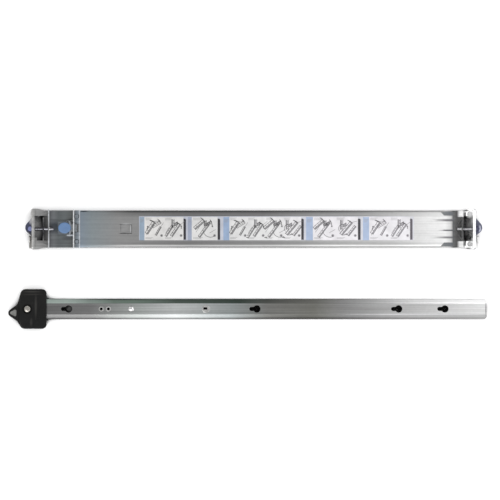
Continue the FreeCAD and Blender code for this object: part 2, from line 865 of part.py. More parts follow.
def open_centre(body, end):
    """Room for the latch button behind the flange, through the tab and the web."""
    near, far = end.span(f"flange_sheet - {OVERRUN}", f"flange_sheet + {GAP_LAYER} + {OVERRUN}")
    bore(
        body, near, far,
        lambda sketch: rectangle(sketch, TAB_LOW, "0", TAB_HIGH, f"{NOSE_HIGH} + nose_clearance"),
    )
    bore(body, near, far, boss_notch)


def boss_notch(sketch):
    """The notch that the button's boss passes through when the button is pushed back."""
    half = "(boss_radius + nose_clearance)"
    rectangle(
        sketch, f"boss_across - {half}", NOSE_HIGH, f"boss_across + {half}",
        f"{NOSE_HIGH} + boss_height + nose_clearance",
    )


def web_cut(body, end, near, far, low, high, top):
    start, stop = end.span(near, far)
    opening(body, f"{end.level} - {OVERRUN}", top, lambda sketch: rectangle(sketch, start, low, stop, high))


def front_bracket():
    body = new_body("front_bracket", CABINET_Y)
    bracket_head(body, FRONT, "0", "channel_front", WEB_BOTTOM)
    # the web runs on under the front of the channel
    upward(
        body, SLIDE_TOP, WEB_BOTTOM,
        lambda sketch: rectangle(
            sketch, f"{CHANNEL_START} - {SINK}", f"-{CHANNEL_INSIDE}",
            f"{CHANNEL_START} + bracket_run", CHANNEL_INSIDE,
        ),
    )
    above = f"{WEB_BOTTOM} + {OVERRUN}"
    web_cut(body, FRONT, f"flange_sheet - {OVERRUN}", "front_window_end", TAB_LOW, TAB_HIGH, above)
    half = "window_height / 2"
    web_cut(body, FRONT, "front_window_start", "front_window_end", f"-{half}", half, above)
    bead_top = f"{WEB_BOTTOM} + gusset_height"
    for side in (1, -1):
        near = FRONT.place("front_window_start + gusset_width")
        bead = [
            (near, f"{side} * gusset_inner", "0"),
            (near, f"{side} * (gusset_inner + gusset_width)", "0"),
            (FRONT.place("front_wall"), f"{side} * (gusset_outer + gusset_width)", "0"),
            (FRONT.place("front_wall"), f"{side} * gusset_outer", "0"),
        ]
        upward(body, f"{WEB_BOTTOM} - {SINK}", bead_top, lambda sketch: outline(sketch, bead))
    open_centre(body, FRONT)
    plate_across(body, FRONT, "spring_wall", SLIDE_TOP, SPRING_WALL_TOP, "(window_height / 2)")
    plate_across(body, FRONT, "front_wall", SLIDE_TOP, "front_wall_top", "(wall_height / 2)")
    rod_hole(body, FRONT, "spring_wall")
    rod_hole(body, FRONT, "front_wall")
    plate_across(body, FRONT, "second_wall", SLIDE_TOP, "second_wall_top", "(wall_height / 2)")
    # the catch's tail passes under this wall's arch and down through a slot in the web
    start, stop = FRONT.span("second_wall - wall_sheet", "second_wall + wall_sheet")
    low = "(pad_offset - catch_width / 2 - catch_side_gap)"
    high = "(pad_offset + catch_width / 2 + catch_side_gap)"
    bore(
        body, start, stop,
        lambda sketch: rectangle(
            sketch, low, WEB_BOTTOM, high, "pivot_level + lever_sheet + catch_headroom",
        ),
    )
    web_cut(body, FRONT, "catch_place - catch_slot / 2", "catch_place + catch_slot / 2", low, high, above)
    # two ears carry the release lever's pivot pin
    for side in (1, -1):
        near = f"pad_offset + {side} * (lever_width / 2 + lever_side_gap)"
        far = f"{near} + {side} * pivot_ear_sheet"
        upward(
            body, f"{WEB_BOTTOM} - {SINK}", "pivot_level + pivot_radius + pivot_ear_rim",
            lambda sketch: rectangle(
                sketch, FRONT.place("pivot_place - pivot_ear_length / 2"), near,
                FRONT.place("second_wall"), far,
            ),
        )
    sketch = new_sketch(body, "XZ_Plane", "-pad_offset")
    circle(sketch, FRONT.place("pivot_place"), "pivot_level", "pivot_radius")
    cut(body, sketch, "lever_width + 4 * pivot_ear_sheet", symmetric=True)
    for hole_x, hole_y in bracket_rivet_places():
        opening(
            body, f"{SLIDE_TOP} - {OVERRUN}", above,
            lambda sketch: circle(sketch, hole_x, hole_y, "rivet_radius"),
        )
    return body


def rear_bracket():
    body = new_body("rear_bracket", CABINET_Y)
    top = f"({REAR.level} + arm_sheet)"
    head_end = "channel_rear - rear_head_gap"
    bracket_head(body, REAR, "floor_gap", head_end, top)
    # the arm runs forward inside the channel, under its web, to the stop tab
    half = f"({CHANNEL_INSIDE} - side_clearance)"
    upward(
        body, REAR.level, top,
        lambda sketch: rectangle(
            sketch, f"{STOP_TAB_END} + stop_gap", f"-{half}", REAR.place(f"{head_end} - {SINK}"), half,
        ),
    )
    # slots let the arm pass the spacer rivets over the whole depth adjustment
    play = "(rivet_radius + arm_slot_play)"
    below, above = f"{REAR.level} - {OVERRUN}", f"{top} + {OVERRUN}"
    for rivet_x, rivet_y in spacer_places():
        opening(
            body, below, above,
            lambda sketch: rectangle(
                sketch, f"{rivet_x} - depth_travel - {play}", f"{rivet_y} - {play}",
                f"{rivet_x} + {play}", f"{rivet_y} + {play}",
            ),
        )
    web_cut(body, REAR, f"flange_sheet - {OVERRUN}", "rear_window_end", TAB_LOW, TAB_HIGH, above)
    half = "window_height / 2"
    web_cut(body, REAR, "rear_window_start", "rear_window_end", f"-{half}", half, above)
    open_centre(body, REAR)
    # bend relief: a round hole and a slit at each corner of the window
    for side in (1, -1):
        opening(
            body, below, above,
            lambda sketch: circle(
                sketch, REAR.place("relief_place"), f"{side} * relief_spread / 2", "relief_radius",
            ),
        )
        web_cut(
            body, REAR, "rear_window_end - 2 * relief_slit", "rear_window_end - relief_slit",
            f"{side} * (window_height / 2 - {OVERRUN})", f"{side} * relief_slit_end", above,
        )
    plate_across(body, REAR, "rear_wall", REAR.level, SPRING_WALL_TOP, "(window_height / 2)")
    rod_hole(body, REAR, "rear_wall")
    # two raised ribs brace the spring wall
    for side in (1, -1):
        rib = [
            (REAR.place("rear_wall + brace_length"), f"{side} * brace_inner", "0"),
            (REAR.place(f"rear_wall + {SINK}"), f"{side} * brace_outer", "0"),
            (REAR.place(f"rear_wall + {SINK}"), f"{side} * (brace_outer + brace_width)", "0"),
            (REAR.place("rear_wall + brace_length"), f"{side} * (brace_inner + brace_width)", "0"),
        ]
        upward(body, f"{top} - {SINK}", f"{top} + brace_height", lambda sketch: outline(sketch, rib))
    return body


def flange(end):
    """The mounting plate: the slide passes through its mouth and the button above that."""
    body = new_body(f"{end.name}_flange", CABINET_Y)
    half = "(flange_height / 2)"
    low = "0" if end.way > 0 else "floor_gap"
    corners = [
        (f"-{half}", low, "web_corner"), (half, low, "web_corner"),
        (half, "flange_top", "flange_corner"), (f"-{half}", "flange_top", "flange_corner"),
    ]
    start, stop = end.span("0", "flange_sheet")
    lengthwise(body, start, stop, lambda sketch: outline(sketch, corners))

    def mouth(sketch):
        rectangle(sketch, "-mouth_height / 2", f"-{OVERRUN}", "mouth_height / 2", "mouth_top")

    def nose_opening(sketch):
        rectangle(
            sketch, "-(nose_low_side + nose_clearance)", "0", "nose_high_side + nose_clearance",
            f"{NOSE_HIGH} + nose_clearance",
        )

    def hook_slot(sketch):
        low_side = "-(hook_place + hook_width)"
        rectangle(sketch, low_side, f"mouth_top - {OVERRUN}", "-hook_place", HOOK_TOP)

    def rack_hole(side):
        return lambda sketch: circle(
            sketch, f"{side} * rack_hole_spacing / 2", "rack_hole_level", "rack_hole_radius",
        )

    for shape in (mouth, nose_opening, boss_notch, hook_slot, rack_hole(1), rack_hole(-1)):
        bore(body, start, stop, shape)
    return body


HOOK_LOW = "(mouth_top)"
HOOK_TOP = "(mouth_top + hook_sheet)"


def hook(end):
    """A lip ahead of the flange that holds the rack post's edge; its neck is welded in a slot."""
    body = new_body(f"{end.name}_hook", CABINET_Y)
    near, far = "-hook_place", "-(hook_place + hook_width)"
    corners = [
        (far, HOOK_LOW, "0"), (near, HOOK_LOW, "0"), (near, "hook_top", "hook_corner"),
        ("-(hook_place + hook_finger)", "hook_top", "hook_corner"),
        ("-(hook_place + hook_finger)", "hook_shoulder", "0"), (far, "hook_shoulder", "0"),
    ]
    lengthwise(
        body, *end.span("-(hook_gap + hook_sheet)", "-hook_gap"), lambda sketch: outline(sketch, corners),
    )
    start, stop = end.span(f"-(hook_gap + {SINK})", "flange_sheet")
    # beside the button's opening the slot is open, so the neck is as wide as the whole lip
    lengthwise(body, start, stop, lambda sketch: rectangle(sketch, far, HOOK_LOW, near, HOOK_TOP))
    return body


def button(end):
    """The moulded latch button: a rounded nose, a lip behind the flange and a seat for its boss."""
    body = new_body(f"{end.name}_button", CABINET_Y)
    low_point = [
        (end.place("flange_sheet"), "-nose_low_side", "0"),
        (end.place("0"), "-nose_low_side", "nose_root_round"),
        (end.place("-nose_point"), "boss_across", "nose_round"),
        (end.place("0"), "nose_high_side", "nose_root_round"),
        (end.place("flange_sheet"), "nose_high_side", "0"),
    ]
    solid = upward(body, NOSE_LOW, NOSE_HIGH, lambda sketch: outline(sketch, low_point))
    level = size(NOSE_HIGH)
    base = size(NOSE_LOW)
    back = size(end.place("flange_sheet"))

    def rim(edge):
        box = edge.BoundBox
        flat = box.ZLength < 1e-6 and (abs(box.ZMin - level) < 1e-6 or abs(box.ZMin - base) < 1e-6)
        return flat and box.XLength > 1e-6 and not (box.YLength < 1e-6 and abs(box.XMin - back) < 1e-6)

    round_edges(body, solid, rim, "nose_edge")
    lengthwise(
        body, *end.span("flange_sheet", LIP_BACK),
        lambda sketch: rectangle(
            sketch, "-(nose_low_side + nose_lip)", f"{NOSE_LOW} + nose_lip_drop",
            "nose_high_side + nose_lip", f"{NOSE_HIGH} - nose_lip_drop",
        ),
    )
    opening(
        body, f"{NOSE_HIGH} - boss_height", f"{NOSE_HIGH} + {OVERRUN}",
        lambda sketch: circle(sketch, end.place("-boss_place"), "boss_across", "boss_radius"),
    )
    return body


def button_boss(end):
    """A round insert that stands a little proud of the button's upper side."""
    body = new_body(f"{end.name}_button_boss", CABINET_Y)
    solid = upward(
        body, f"{NOSE_HIGH} - boss_height", f"{NOSE_HIGH} + boss_height",
        lambda sketch: circle(sketch, end.place("-boss_place"), "boss_across", "boss_radius"),
    )
    top = size(f"{NOSE_HIGH} + boss_height")
    round_edges(body, solid, lambda edge: abs(edge.BoundBox.ZMin - top) < 1e-6, "boss_round")
    return body


def latch_rod(end):
    rod = doc.addObject("Part::Cylinder", f"{end.name}_latch_rod")
    rod.Label = rod.Name
    start, stop = end.span(LIP_BACK, f"{end.last_wall} + wall_sheet / 2 + rod_tail + button_stroke / 2")
    bind(rod, "Radius", "rod_radius")
    bind(rod, "Height", f"{stop} - {start}")
    rod.Placement.Rotation = FreeCAD.Rotation(Vector(0, 1, 0), 90)
    bind(rod, "Placement.Base.x", start)
    bind(rod, "Placement.Base.y", CABINET_Y)
    bind(rod, "Placement.Base.z", "rack_hole_level")
    return rod


def rod_clip(end):
    """The retaining ring behind the last wall that the rod passes through."""
    body = new_body(f"{end.name}_rod_clip", CABINET_Y)
    near = f"{end.last_wall} + wall_sheet / 2 + clip_gap"

    def ring(sketch):
        circle(sketch, "0", "rack_hole_level", "rod_radius + clip_width")
        circle(sketch, "0", "rack_hole_level", "rod_radius")

    lengthwise(body, *end.span(near, f"{near} + clip_thickness"), ring)
    return body


def coil_spring(length, radius, wire, turns):
    """A coil about the Z axis, made of short straight runs of six-sided wire."""
    per_turn, sides = 14, 6
    count = turns * per_turn
    rings = []
    for step in range(count + 1):
        around = 2 * math.pi * step / per_turn
        outward = Vector(math.cos(around), math.sin(around), 0)
        middle = outward * radius + Vector(0, 0, wire / 2 + (length - wire) * step / count)
        ring = []
        for side in range(sides):
            turn = 2 * math.pi * side / sides
            ring.append(middle + (outward * math.cos(turn) + Vector(0, 0, 1) * math.sin(turn)) * (wire / 2))
        rings.append(ring)
    faces = [flat_face(rings[0]), flat_face(rings[-1])]
    for ring, following in zip(rings, rings[1:]):
        for side in range(sides):
            beside = (side + 1) % sides
            faces.append(flat_face([ring[side], ring[beside], following[beside]]))
            faces.append(flat_face([ring[side], following[beside], following[side]]))
    return Part.makeSolid(Part.makeShell(faces))


def flat_face(points):
    return Part.Face(Part.makePolygon(points + points[:1]))


def latch_spring(end):
    """A coil spring round the rod, between the button's lip and the spring wall."""
    start, stop = (size(place) for place in end.span(LIP_BACK, f"{end.spring_wall} - wall_sheet / 2"))
    gap = size("spring_end_gap")
    spring = doc.addObject("Part::Feature", f"{end.name}_latch_spring")
    spring.Shape = coil_spring(
        stop - start - 2 * gap, size("spring_radius"), size("spring_wire"), int(size("spring_turns")),
    )
    spring.Label = spring.Name
    spring.Placement = FreeCAD.Placement(
        Vector(start + gap, size(CABINET_Y), size("rack_hole_level")),
        FreeCAD.Rotation(Vector(0, 1, 0), 90),
    )
    return spring


# ---------------------------------------------------------------- release catch
def release_lever():
    """A rocker: the pad presses its front down and lifts the catch at its tail."""
    body = new_body("release_lever", CABINET_Y)
    low, high = "(pivot_level - lever_sheet / 2)", "(pivot_level + lever_sheet / 2)"
    tail = FRONT.place("catch_place + lever_sheet / 2")
    corners = [
        (FRONT.place("lever_front"), low, "0"),
        (FRONT.place("catch_place - lever_sheet / 2"), low, "0"),
        (FRONT.place("catch_place - lever_sheet / 2"), f"{MIDDLE_TOP} + catch_gap", "0"),
        (tail, f"{MIDDLE_TOP} + catch_gap", "0"),
        (tail, high, "lever_bend"),
        (FRONT.place("lever_front"), high, "0"),
    ]
    sketch = new_sketch(body, "XZ_Plane", "-pad_offset")
    outline(sketch, corners)
    pad(body, sketch, "lever_width", symmetric=True)
    sketch = new_sketch(body, "XZ_Plane", "-pad_offset")
    circle(sketch, FRONT.place("pivot_place"), "pivot_level", "pivot_radius + lever_wall")
    pad(body, sketch, "lever_width", symmetric=True)
    sketch = new_sketch(body, "XZ_Plane", "-pad_offset")
    circle(sketch, FRONT.place("pivot_place"), "pivot_level", "pivot_radius + pivot_clearance")
    cut(body, sketch, f"lever_width + 2 * {OVERRUN}", symmetric=True)
    for side in (1, -1):
        opening(
            body, MIDDLE_TOP, f"{high} + {OVERRUN}",
            lambda sketch: rectangle(
                sketch, FRONT.place("pivot_place + pivot_radius + lever_wall + catch_setback"),
                f"pad_offset + {side} * catch_width / 2",
                f"{tail} + {OVERRUN}", f"pad_offset + {side} * (lever_width / 2 + {OVERRUN})",
            ),
        )
    return body


def release_pivot_pin():
    pin = doc.addObject("Part::Cylinder", "release_pivot_pin")
    pin.Label = pin.Name
    half = "(lever_width / 2 + lever_side_gap + pivot_ear_sheet)"
    bind(pin, "Radius", "pivot_radius")
    bind(pin, "Height", f"2 * {half}")
    pin.Placement.Rotation = FreeCAD.Rotation(Vector(1, 0, 0), -90)
    bind(pin, "Placement.Base.x", FRONT.place("pivot_place"))
    bind(pin, "Placement.Base.y", f"{CABINET_Y} + pad_offset - {half}")
    bind(pin, "Placement.Base.z", "pivot_level")
    return pin


def release_pad():
    """An oval thumb pad with a rounded rim and a dished top."""
    foot = size("pivot_level + lever_sheet / 2")
    height = size("pad_thickness")
    centre = Vector(size(FRONT.place("pad_place")), size(f"{CABINET_Y} + pad_offset"), foot)
    oval = Part.Ellipse(centre, size("pad_length") / 2, size("pad_height") / 2)
    solid = Part.Face(Part.Wire(oval.toShape())).extrude(Vector(0, 0, height))
    rim = [edge for edge in solid.Edges if edge.BoundBox.ZMin > foot + height - 1e-6]
    solid = solid.makeFillet(size("pad_edge"), rim)
    dish_radius = size("pad_dish")
    dish_centre = centre + Vector(0, 0, height + dish_radius - size("pad_dish_depth"))
    dish = Part.makeSphere(dish_radius, dish_centre)
    pivot = Vector(size(FRONT.place("pivot_place")), centre.y - size("pad_height"), size("pivot_level"))
    radius = size("pivot_radius + lever_wall")
    barrel = Part.makeCylinder(radius, 2 * size("pad_height"), pivot, Vector(0, 1, 0))
    thumb_pad = doc.addObject("Part::Feature", "release_pad")
    thumb_pad.Shape = solid.cut(dish).cut(barrel)
    thumb_pad.Label = thumb_pad.Name
    return thumb_pad


def step_run(rise, bend, turn):
    """The straight run between two opposite bends that together climb by a height."""
    angle = math.radians(turn)
    return (rise - 2 * bend * (1 - math.cos(angle))) / math.sin(angle)


def release_spring():
    """A leaf spring on the bracket's web that lifts the front of the lever."""
    body = new_body("release_spring", CABINET_Y)
    thickness = size("leaf_spring_sheet")
    rise = size(f"pivot_level - lever_sheet / 2 - {WEB_BOTTOM} - spring_end_gap") - thickness
    bend = size("leaf_spring_foot") / 2
    run = step_run(rise, bend, RELEASE_LEAF_TURN)
    sketch = new_sketch(body, "XZ_Plane", "-pad_offset")
    start = (-size(FRONT.place("pivot_place - leaf_spring_place")), size(WEB_BOTTOM) + thickness / 2)
    foot = size("leaf_spring_foot")
    steps = [foot, (bend, RELEASE_LEAF_TURN), run, (bend, -RELEASE_LEAF_TURN), foot]
    sketch.addGeometry(mirrored(formed_edges(start, 0, steps, thickness, True)), False)
    pad(body, sketch, "leaf_spring_width", symmetric=True)
    return body


# ---------------------------------------------------------------- label
def instruction_label():
    body = new_body("instruction_label", CABINET_Y)
    start = FRONT.place("label_front")
    upward(
        body, WEB_TOP, f"{WEB_TOP} + label_sheet",
        lambda sketch: rectangle(
            sketch, start, "label_offset - label_height / 2", REAR.place("label_rear"),
            "label_offset + label_height / 2",
        ),
    )
    return body


# ---------------------------------------------------------------- chassis rail
WEB_LEVEL = "(chassis_depth - chassis_sheet)"


def chassis_place(distance):
    """A place measured back from the ear's nose."""
    return f"({NOSE_END} + {distance})"


def keyhole_places():
    """One near the front, one past the middle and two near the rear."""
    rear = f"({REAR_END} - keyhole_rear)"
    return [chassis_place("keyhole_front"), "keyhole_middle", f"({rear} - keyhole_pitch)", rear]


def eyelet_places():
    return [chassis_place("eyelet_place"), chassis_place("eyelet_place + eyelet_pitch")]


def walk(start, heading, steps):
    """Where the middle line of a formed sheet ends."""
    point = Vector(start[0], start[1], 0)
    angle = math.radians(heading)
    for step in steps:
        if isinstance(step, tuple):
            radius, turn = step[0], math.radians(step[1])
            way = math.copysign(1, turn)
            point += Vector(-math.sin(angle), math.cos(angle), 0) * (radius * way)
            angle += turn
            point -= Vector(-math.sin(angle), math.cos(angle), 0) * (radius * way)
        else:
            point += Vector(math.cos(angle), math.sin(angle), 0) * step
    return point


def chassis_steps():
    """The chassis rail's half section: web, bevel, ball groove and foot."""
    thickness = size("chassis_sheet")
    start = (0, size("chassis_depth") - thickness / 2)
    flat = size("chassis_web / 2 - chassis_bend_setback")
    groove = size(RACE) + thickness / 2
    shoulder = [
        (size("groove_bend"), BEVEL_SLOPE - GROOVE_TURN - FOOT_TURN), (groove, GROOVE_TURN),
        size("groove_foot"), (size("foot_bend"), -FOOT_TURN),
    ]
    crown = [flat, (size("chassis_bend"), -BEVEL_SLOPE)]
    reach = walk(start, 0, crown)
    lead = walk((0, 0), -BEVEL_SLOPE, shoulder[:1])
    bevel = size(INNER_BALL_Y) - groove * math.sin(math.radians(FOOT_TURN)) - lead.x - reach.x
    bevel /= math.cos(math.radians(BEVEL_SLOPE))
    steps = crown + [bevel] + shoulder
    return start, steps + [walk(start, 0, steps).y]


def chassis_rail():
    body = new_body("chassis_rail", CHASSIS_Y)
    sketch = across_rail(body, chassis_place("chassis_front"))
    start, steps = chassis_steps()
    sheet_section(sketch, start, steps, size("chassis_sheet"))
    pad(body, sketch, "chassis_length - chassis_front")
    low, high = f"{WEB_LEVEL} - {OVERRUN}", f"chassis_depth + {OVERRUN}"
    for place in keyhole_places():
        slot = [
            (f"{place} - keyhole_length", "-keyhole_slot / 2", f"keyhole_slot / 2 - {HAIR}"),
            (place, "-keyhole_slot / 2", "0"),
            (place, "keyhole_slot / 2", "0"),
            (f"{place} - keyhole_length", "keyhole_slot / 2", f"keyhole_slot / 2 - {HAIR}"),
        ]
        opening(body, low, high, lambda sketch: outline(sketch, slot))
        opening(body, low, high, lambda sketch: circle(sketch, place, "0", "keyhole_radius"))
    holes = [(place, "eyelet_hole + eyelet_wall") for place in eyelet_places()]
    holes.append((chassis_place("stud_place"), "stud_radius + stud_hole_clearance"))
    holes.append((chassis_place("boss_ring_place"), "boss_ring_radius - boss_ring_lip"))
    holes.append((chassis_place("ear_screw_place"), "ear_screw_shank"))
    for place, radius in holes:
        opening(body, low, high, lambda sketch: circle(sketch, place, "0", radius))
    # the rear end's corners are rounded off in plan
    for side in (1, -1):
        edge = f"{side} * (chassis_height / 2 + {OVERRUN})"
        past_end, near = f"{REAR_END} + {OVERRUN}", f"{REAR_END} - chassis_corner"
        corner = [
            (past_end, edge, "0"), (near, edge, "0"), (near, f"{side} * (chassis_height / 2)", "0"),
            (REAR_END, f"{side} * (chassis_height / 2 - chassis_corner)", "0"),
            (past_end, f"{side} * (chassis_height / 2 - chassis_corner)", "0"),
        ]
        opening(body, f"-{OVERRUN}", high, lambda sketch: outline(sketch, corner))
    return body


def turned_solid(place, across, corners):
    """A solid of revolution about a vertical axis, from radius and height pairs."""
    points = [Vector(radius, 0, height) for radius, height in corners]
    face = Part.Face(Part.makePolygon(points + points[:1]))
    solid = face.revolve(Vector(0, 0, 0), Vector(0, 0, 1), 360)
    solid.translate(Vector(size(place), size(across), 0))
    return solid


def lock_eyelets():
    """Tubular rivets that hold the lock leaf under the web."""
    hole, rim = size("eyelet_hole"), size("eyelet_rim")
    sleeve = hole + size("eyelet_wall")
    head, top = size("eyelet_radius"), size("chassis_depth")
    leaf_low = size(f"{WEB_LEVEL} - leaf_sheet")
    corners = [
        (hole, leaf_low - rim), (sleeve + rim, leaf_low - rim), (sleeve + rim, leaf_low),
        (sleeve, leaf_low), (sleeve, top), (head, top), (head - rim / 2, top + rim), (hole, top + rim),
    ]
    eyelets = doc.addObject("Part::Feature", "lock_eyelets")
    tubes = [turned_solid(place, CHASSIS_Y, corners) for place in eyelet_places()]
    eyelets.Shape = Part.makeCompound(tubes)
    eyelets.Label = eyelets.Name
    return eyelets


def lock_leaf():
    """The leaf spring under the web: riveted flat at its front, stepped down to its stud."""
    body = new_body("lock_leaf", CHASSIS_Y)
    thickness = size("leaf_sheet")
    bend = size("leaf_bend")
    run = step_run(size("leaf_drop"), bend, LOCK_LEAF_TURN)
    start_x = size(chassis_place("eyelet_place - leaf_overhang"))
    flat = size("eyelet_pitch + 2 * leaf_overhang")
    steps = [flat, (bend, -LOCK_LEAF_TURN), run, (bend, LOCK_LEAF_TURN)]
    start = (start_x, size(WEB_LEVEL) - thickness / 2)
    reach = size(chassis_place("stud_place + leaf_tail")) - walk(start, 0, steps).x
    steps += [reach, (bend, -LOCK_GRIP_TURN), size("leaf_grip")]
    sketch = new_sketch(body, "XZ_Plane")
    sketch.addGeometry(formed_edges(start, 0, steps, thickness, True), False)
    pad(body, sketch, "leaf_width", symmetric=True)
    for place in eyelet_places():
        opening(
            body, f"{WEB_LEVEL} - leaf_sheet - {OVERRUN}", WEB_LEVEL,
            lambda sketch: circle(sketch, place, "0", "eyelet_hole + eyelet_wall"),
        )
    leaf_top = f"{WEB_LEVEL} - leaf_drop"
    opening(
        body, f"{leaf_top} - leaf_sheet - {OVERRUN}", f"{leaf_top} + {OVERRUN}",
        lambda sketch: circle(
            sketch, chassis_place("stud_place"), "0", "leaf_stem_radius + leaf_stem_clearance",
        ),
    )
    return body


def lock_stud():
    """A domed stud that rides in its hole in the web, with the stop that it carries below."""
    radius, top = size("stud_radius"), size("chassis_depth")
    leaf_top = size(f"{WEB_LEVEL} - leaf_drop")
    leaf_low = leaf_top - size("leaf_sheet")
    dome = size("stud_dome")
    stop, stem = size("leaf_stop_radius"), size("leaf_stem_radius")
    stop_low = leaf_low - size("leaf_stop_depth")
    sphere = (radius ** 2 + dome ** 2) / (2 * dome)
    arc = []
    for step in range(7):
        reach = radius * (1 - step / 6)
        arc.append((reach, top + dome - sphere + math.sqrt(sphere ** 2 - reach ** 2)))
    corners = [
        (0, stop_low), (stop, stop_low), (stop, leaf_low), (stem, leaf_low), (stem, leaf_top),
        (radius, leaf_top),
    ]
    stud = doc.addObject("Part::Feature", "lock_stud")
    stud.Shape = turned_solid(chassis_place("stud_place"), CHASSIS_Y, corners + arc)
    stud.Label = stud.Name
    return stud


def slotted_boss():
    """A round boss pressed into the web, with an oblong hole ahead of its centre."""
    body = new_body("slotted_boss", CHASSIS_Y)
    place = chassis_place("boss_ring_place")
    top = "chassis_depth + boss_ring_height"
    upward(
        body, f"{WEB_LEVEL} - boss_edge", "chassis_depth",
        lambda sketch: circle(sketch, place, "0", "boss_ring_radius - boss_ring_lip"),
    )
    solid = upward(
        body, "chassis_depth", top, lambda sketch: circle(sketch, place, "0", "boss_ring_radius"),
    )
    level = size(top)
    round_edges(body, solid, lambda edge: abs(edge.BoundBox.ZMin - level) < 1e-6, "boss_edge")
    middle = f"{place} - boss_slot_shift"
    opening(
        body, f"{WEB_LEVEL} - boss_edge - {OVERRUN}", f"{top} + {OVERRUN}",
        lambda sketch: rectangle(
            sketch, f"{middle} - boss_slot_length / 2", "boss_slot_shift - boss_slot_width / 2",
            f"{middle} + boss_slot_length / 2", "boss_slot_shift + boss_slot_width / 2",
        ),
    )
    return body


# ---------------------------------------------------------------- ear
NOSE_Y = "(-ear_nose_offset)"
NOSE_TOP = "(ear_thickness - ear_nose_drop)"
SEAT_TOP = "(chassis_depth + ear_fit)"
RECESS_FLOOR = f"({SEAT_TOP} + ear_floor)"


def chassis_ear():
    """The moulded ear at the front: a shell round the rail's end, with a pointed nose."""
    body = new_body("chassis_ear", CHASSIS_Y)
    half = "(ear_height / 2)"
    shoulder = chassis_place("ear_body_front + ear_shoulder")
    root = chassis_place("ear_nose_root")
    back = chassis_place("ear_body_rear")
    corners = [
        (chassis_place("-ear_nose_reach"), NOSE_Y, "ear_nose_round"),
        (root, f"{NOSE_Y} - ear_nose_half", "ear_nose_fillet"), (shoulder, f"-{half}", "ear_front_round"),
        (back, f"-{half}", "ear_rear_round"), (back, half, "ear_rear_round"),
        (shoulder, half, "ear_front_round"), (root, f"{NOSE_Y} + ear_nose_half", "ear_nose_fillet"),
    ]
    upward(body, "0", NOSE_TOP, lambda sketch: outline(sketch, corners))
    crown = [
        (chassis_place("ear_body_front"), f"-{half} + ear_front_cut", "ear_front_fillet"),
        (shoulder, f"-{half}", "ear_front_round"),
        (back, f"-{half}", "ear_rear_round"), (back, half, "ear_rear_round"),
        (shoulder, half, "ear_front_round"),
        (chassis_place("ear_body_front"), f"{half} - ear_front_cut", "ear_front_fillet"),
    ]
    solid = upward(body, NOSE_TOP, "ear_thickness", lambda sketch: outline(sketch, crown))
    level = size("ear_thickness")
    round_edges(
        body, solid,
        lambda edge: abs(edge.BoundBox.ZMin - level) < 1e-6 and edge.BoundBox.ZLength < 1e-6, "ear_edge",
    )
    # the rail's end slides into this seat from behind
    seat = "(chassis_height / 2 + ear_fit)"
    opening(
        body, f"-{OVERRUN}", SEAT_TOP,
        lambda sketch: rectangle(
            sketch, chassis_place("chassis_front - ear_fit"), f"-{seat}", f"{back} + {OVERRUN}", seat,
        ),
    )
    # two cores lighten the sides from below
    for side in (1, -1):
        opening(
            body, f"-{OVERRUN}", "ear_thickness - ear_skin",
            lambda sketch: rectangle(
                sketch, chassis_place("ear_body_front + ear_core_setback"), f"{side} * ({seat} + ear_wall)",
                f"{back} - ear_wall", f"{side} * ({half} - ear_wall)",
            ),
        )
    screw = chassis_place("ear_screw_place")
    opening(
        body, RECESS_FLOOR, f"ear_thickness + {OVERRUN}",
        lambda sketch: circle(sketch, screw, "0", "ear_recess_radius"),
    )
    opening(
        body, f"{SEAT_TOP} - {OVERRUN}", f"{RECESS_FLOOR} + {OVERRUN}",
        lambda sketch: circle(sketch, screw, "0", "ear_screw_shank"),
    )
    # two low grip ribs
    ribs = (
        ("grip_rib_rear", "-grip_rib_length / 2", "grip_rib_length / 2"),
        ("grip_rib_front", f"-{half} + grip_rib_edge", f"-{half} + grip_rib_edge + grip_rib_short"),
    )
    for near, low, high in ribs:
        place, end = chassis_place(near), chassis_place(f"{near} + grip_rib_width")
        upward(
            body, f"ear_thickness - {SINK}", "ear_thickness + grip_rib_height",
            lambda sketch: rectangle(sketch, place, low, end, high),
        )
    return body


def ear_screw():
    """A pan-head screw with a cross recess."""
    floor = size(RECESS_FLOOR)
    head, shank = size("ear_screw_radius"), size("ear_screw_shank")
    tip = size(f"{WEB_LEVEL} - ear_nut_height - ear_screw_tip")
    rim, height = size("ear_screw_rim"), size("ear_screw_height")
    corners = [(0, tip), (shank, tip), (shank, floor), (head, floor), (head, floor + rim)]
    for turn in (30, 60):
        angle = math.radians(turn)
        corners.append((head * math.cos(angle), floor + rim + (height - rim) * math.sin(angle)))
    corners.append((0, floor + height))
    solid = turned_solid(chassis_place("ear_screw_place"), CHASSIS_Y, corners)
    depth = size("cross_depth")
    centre = Vector(size(chassis_place("ear_screw_place")), size(CHASSIS_Y), floor + height - depth)
    cross = (size("cross_length"), size("cross_width"))
    for length, width in (cross, cross[::-1]):
        arm = Part.makeBox(length, width, 2 * depth, centre - Vector(length / 2, width / 2, 0))
        solid = solid.cut(arm)
    screw = doc.addObject("Part::Feature", "ear_screw")
    screw.Shape = solid
    screw.Label = screw.Name
    return screw


def ear_nut():
    """A hexagonal nut under the rail's web."""
    body = new_body("ear_nut", CHASSIS_Y)
    sketch = at_level(body, f"{WEB_LEVEL} - ear_nut_height")
    centre = Vector(size(chassis_place("ear_screw_place")), 0, 0)
    radius = size("ear_nut_radius")
    corners = []
    for step in range(6):
        turn = math.radians(60 * step)
        corners.append(centre + Vector(math.cos(turn), math.sin(turn), 0) * radius)
    for start, end in zip(corners, corners[1:] + corners[:1]):
        sketch.addGeometry(Part.LineSegment(start, end), False)
    circle(sketch, chassis_place("ear_screw_place"), "0", "ear_screw_shank")
    pad(body, sketch, "ear_nut_height")
    return body


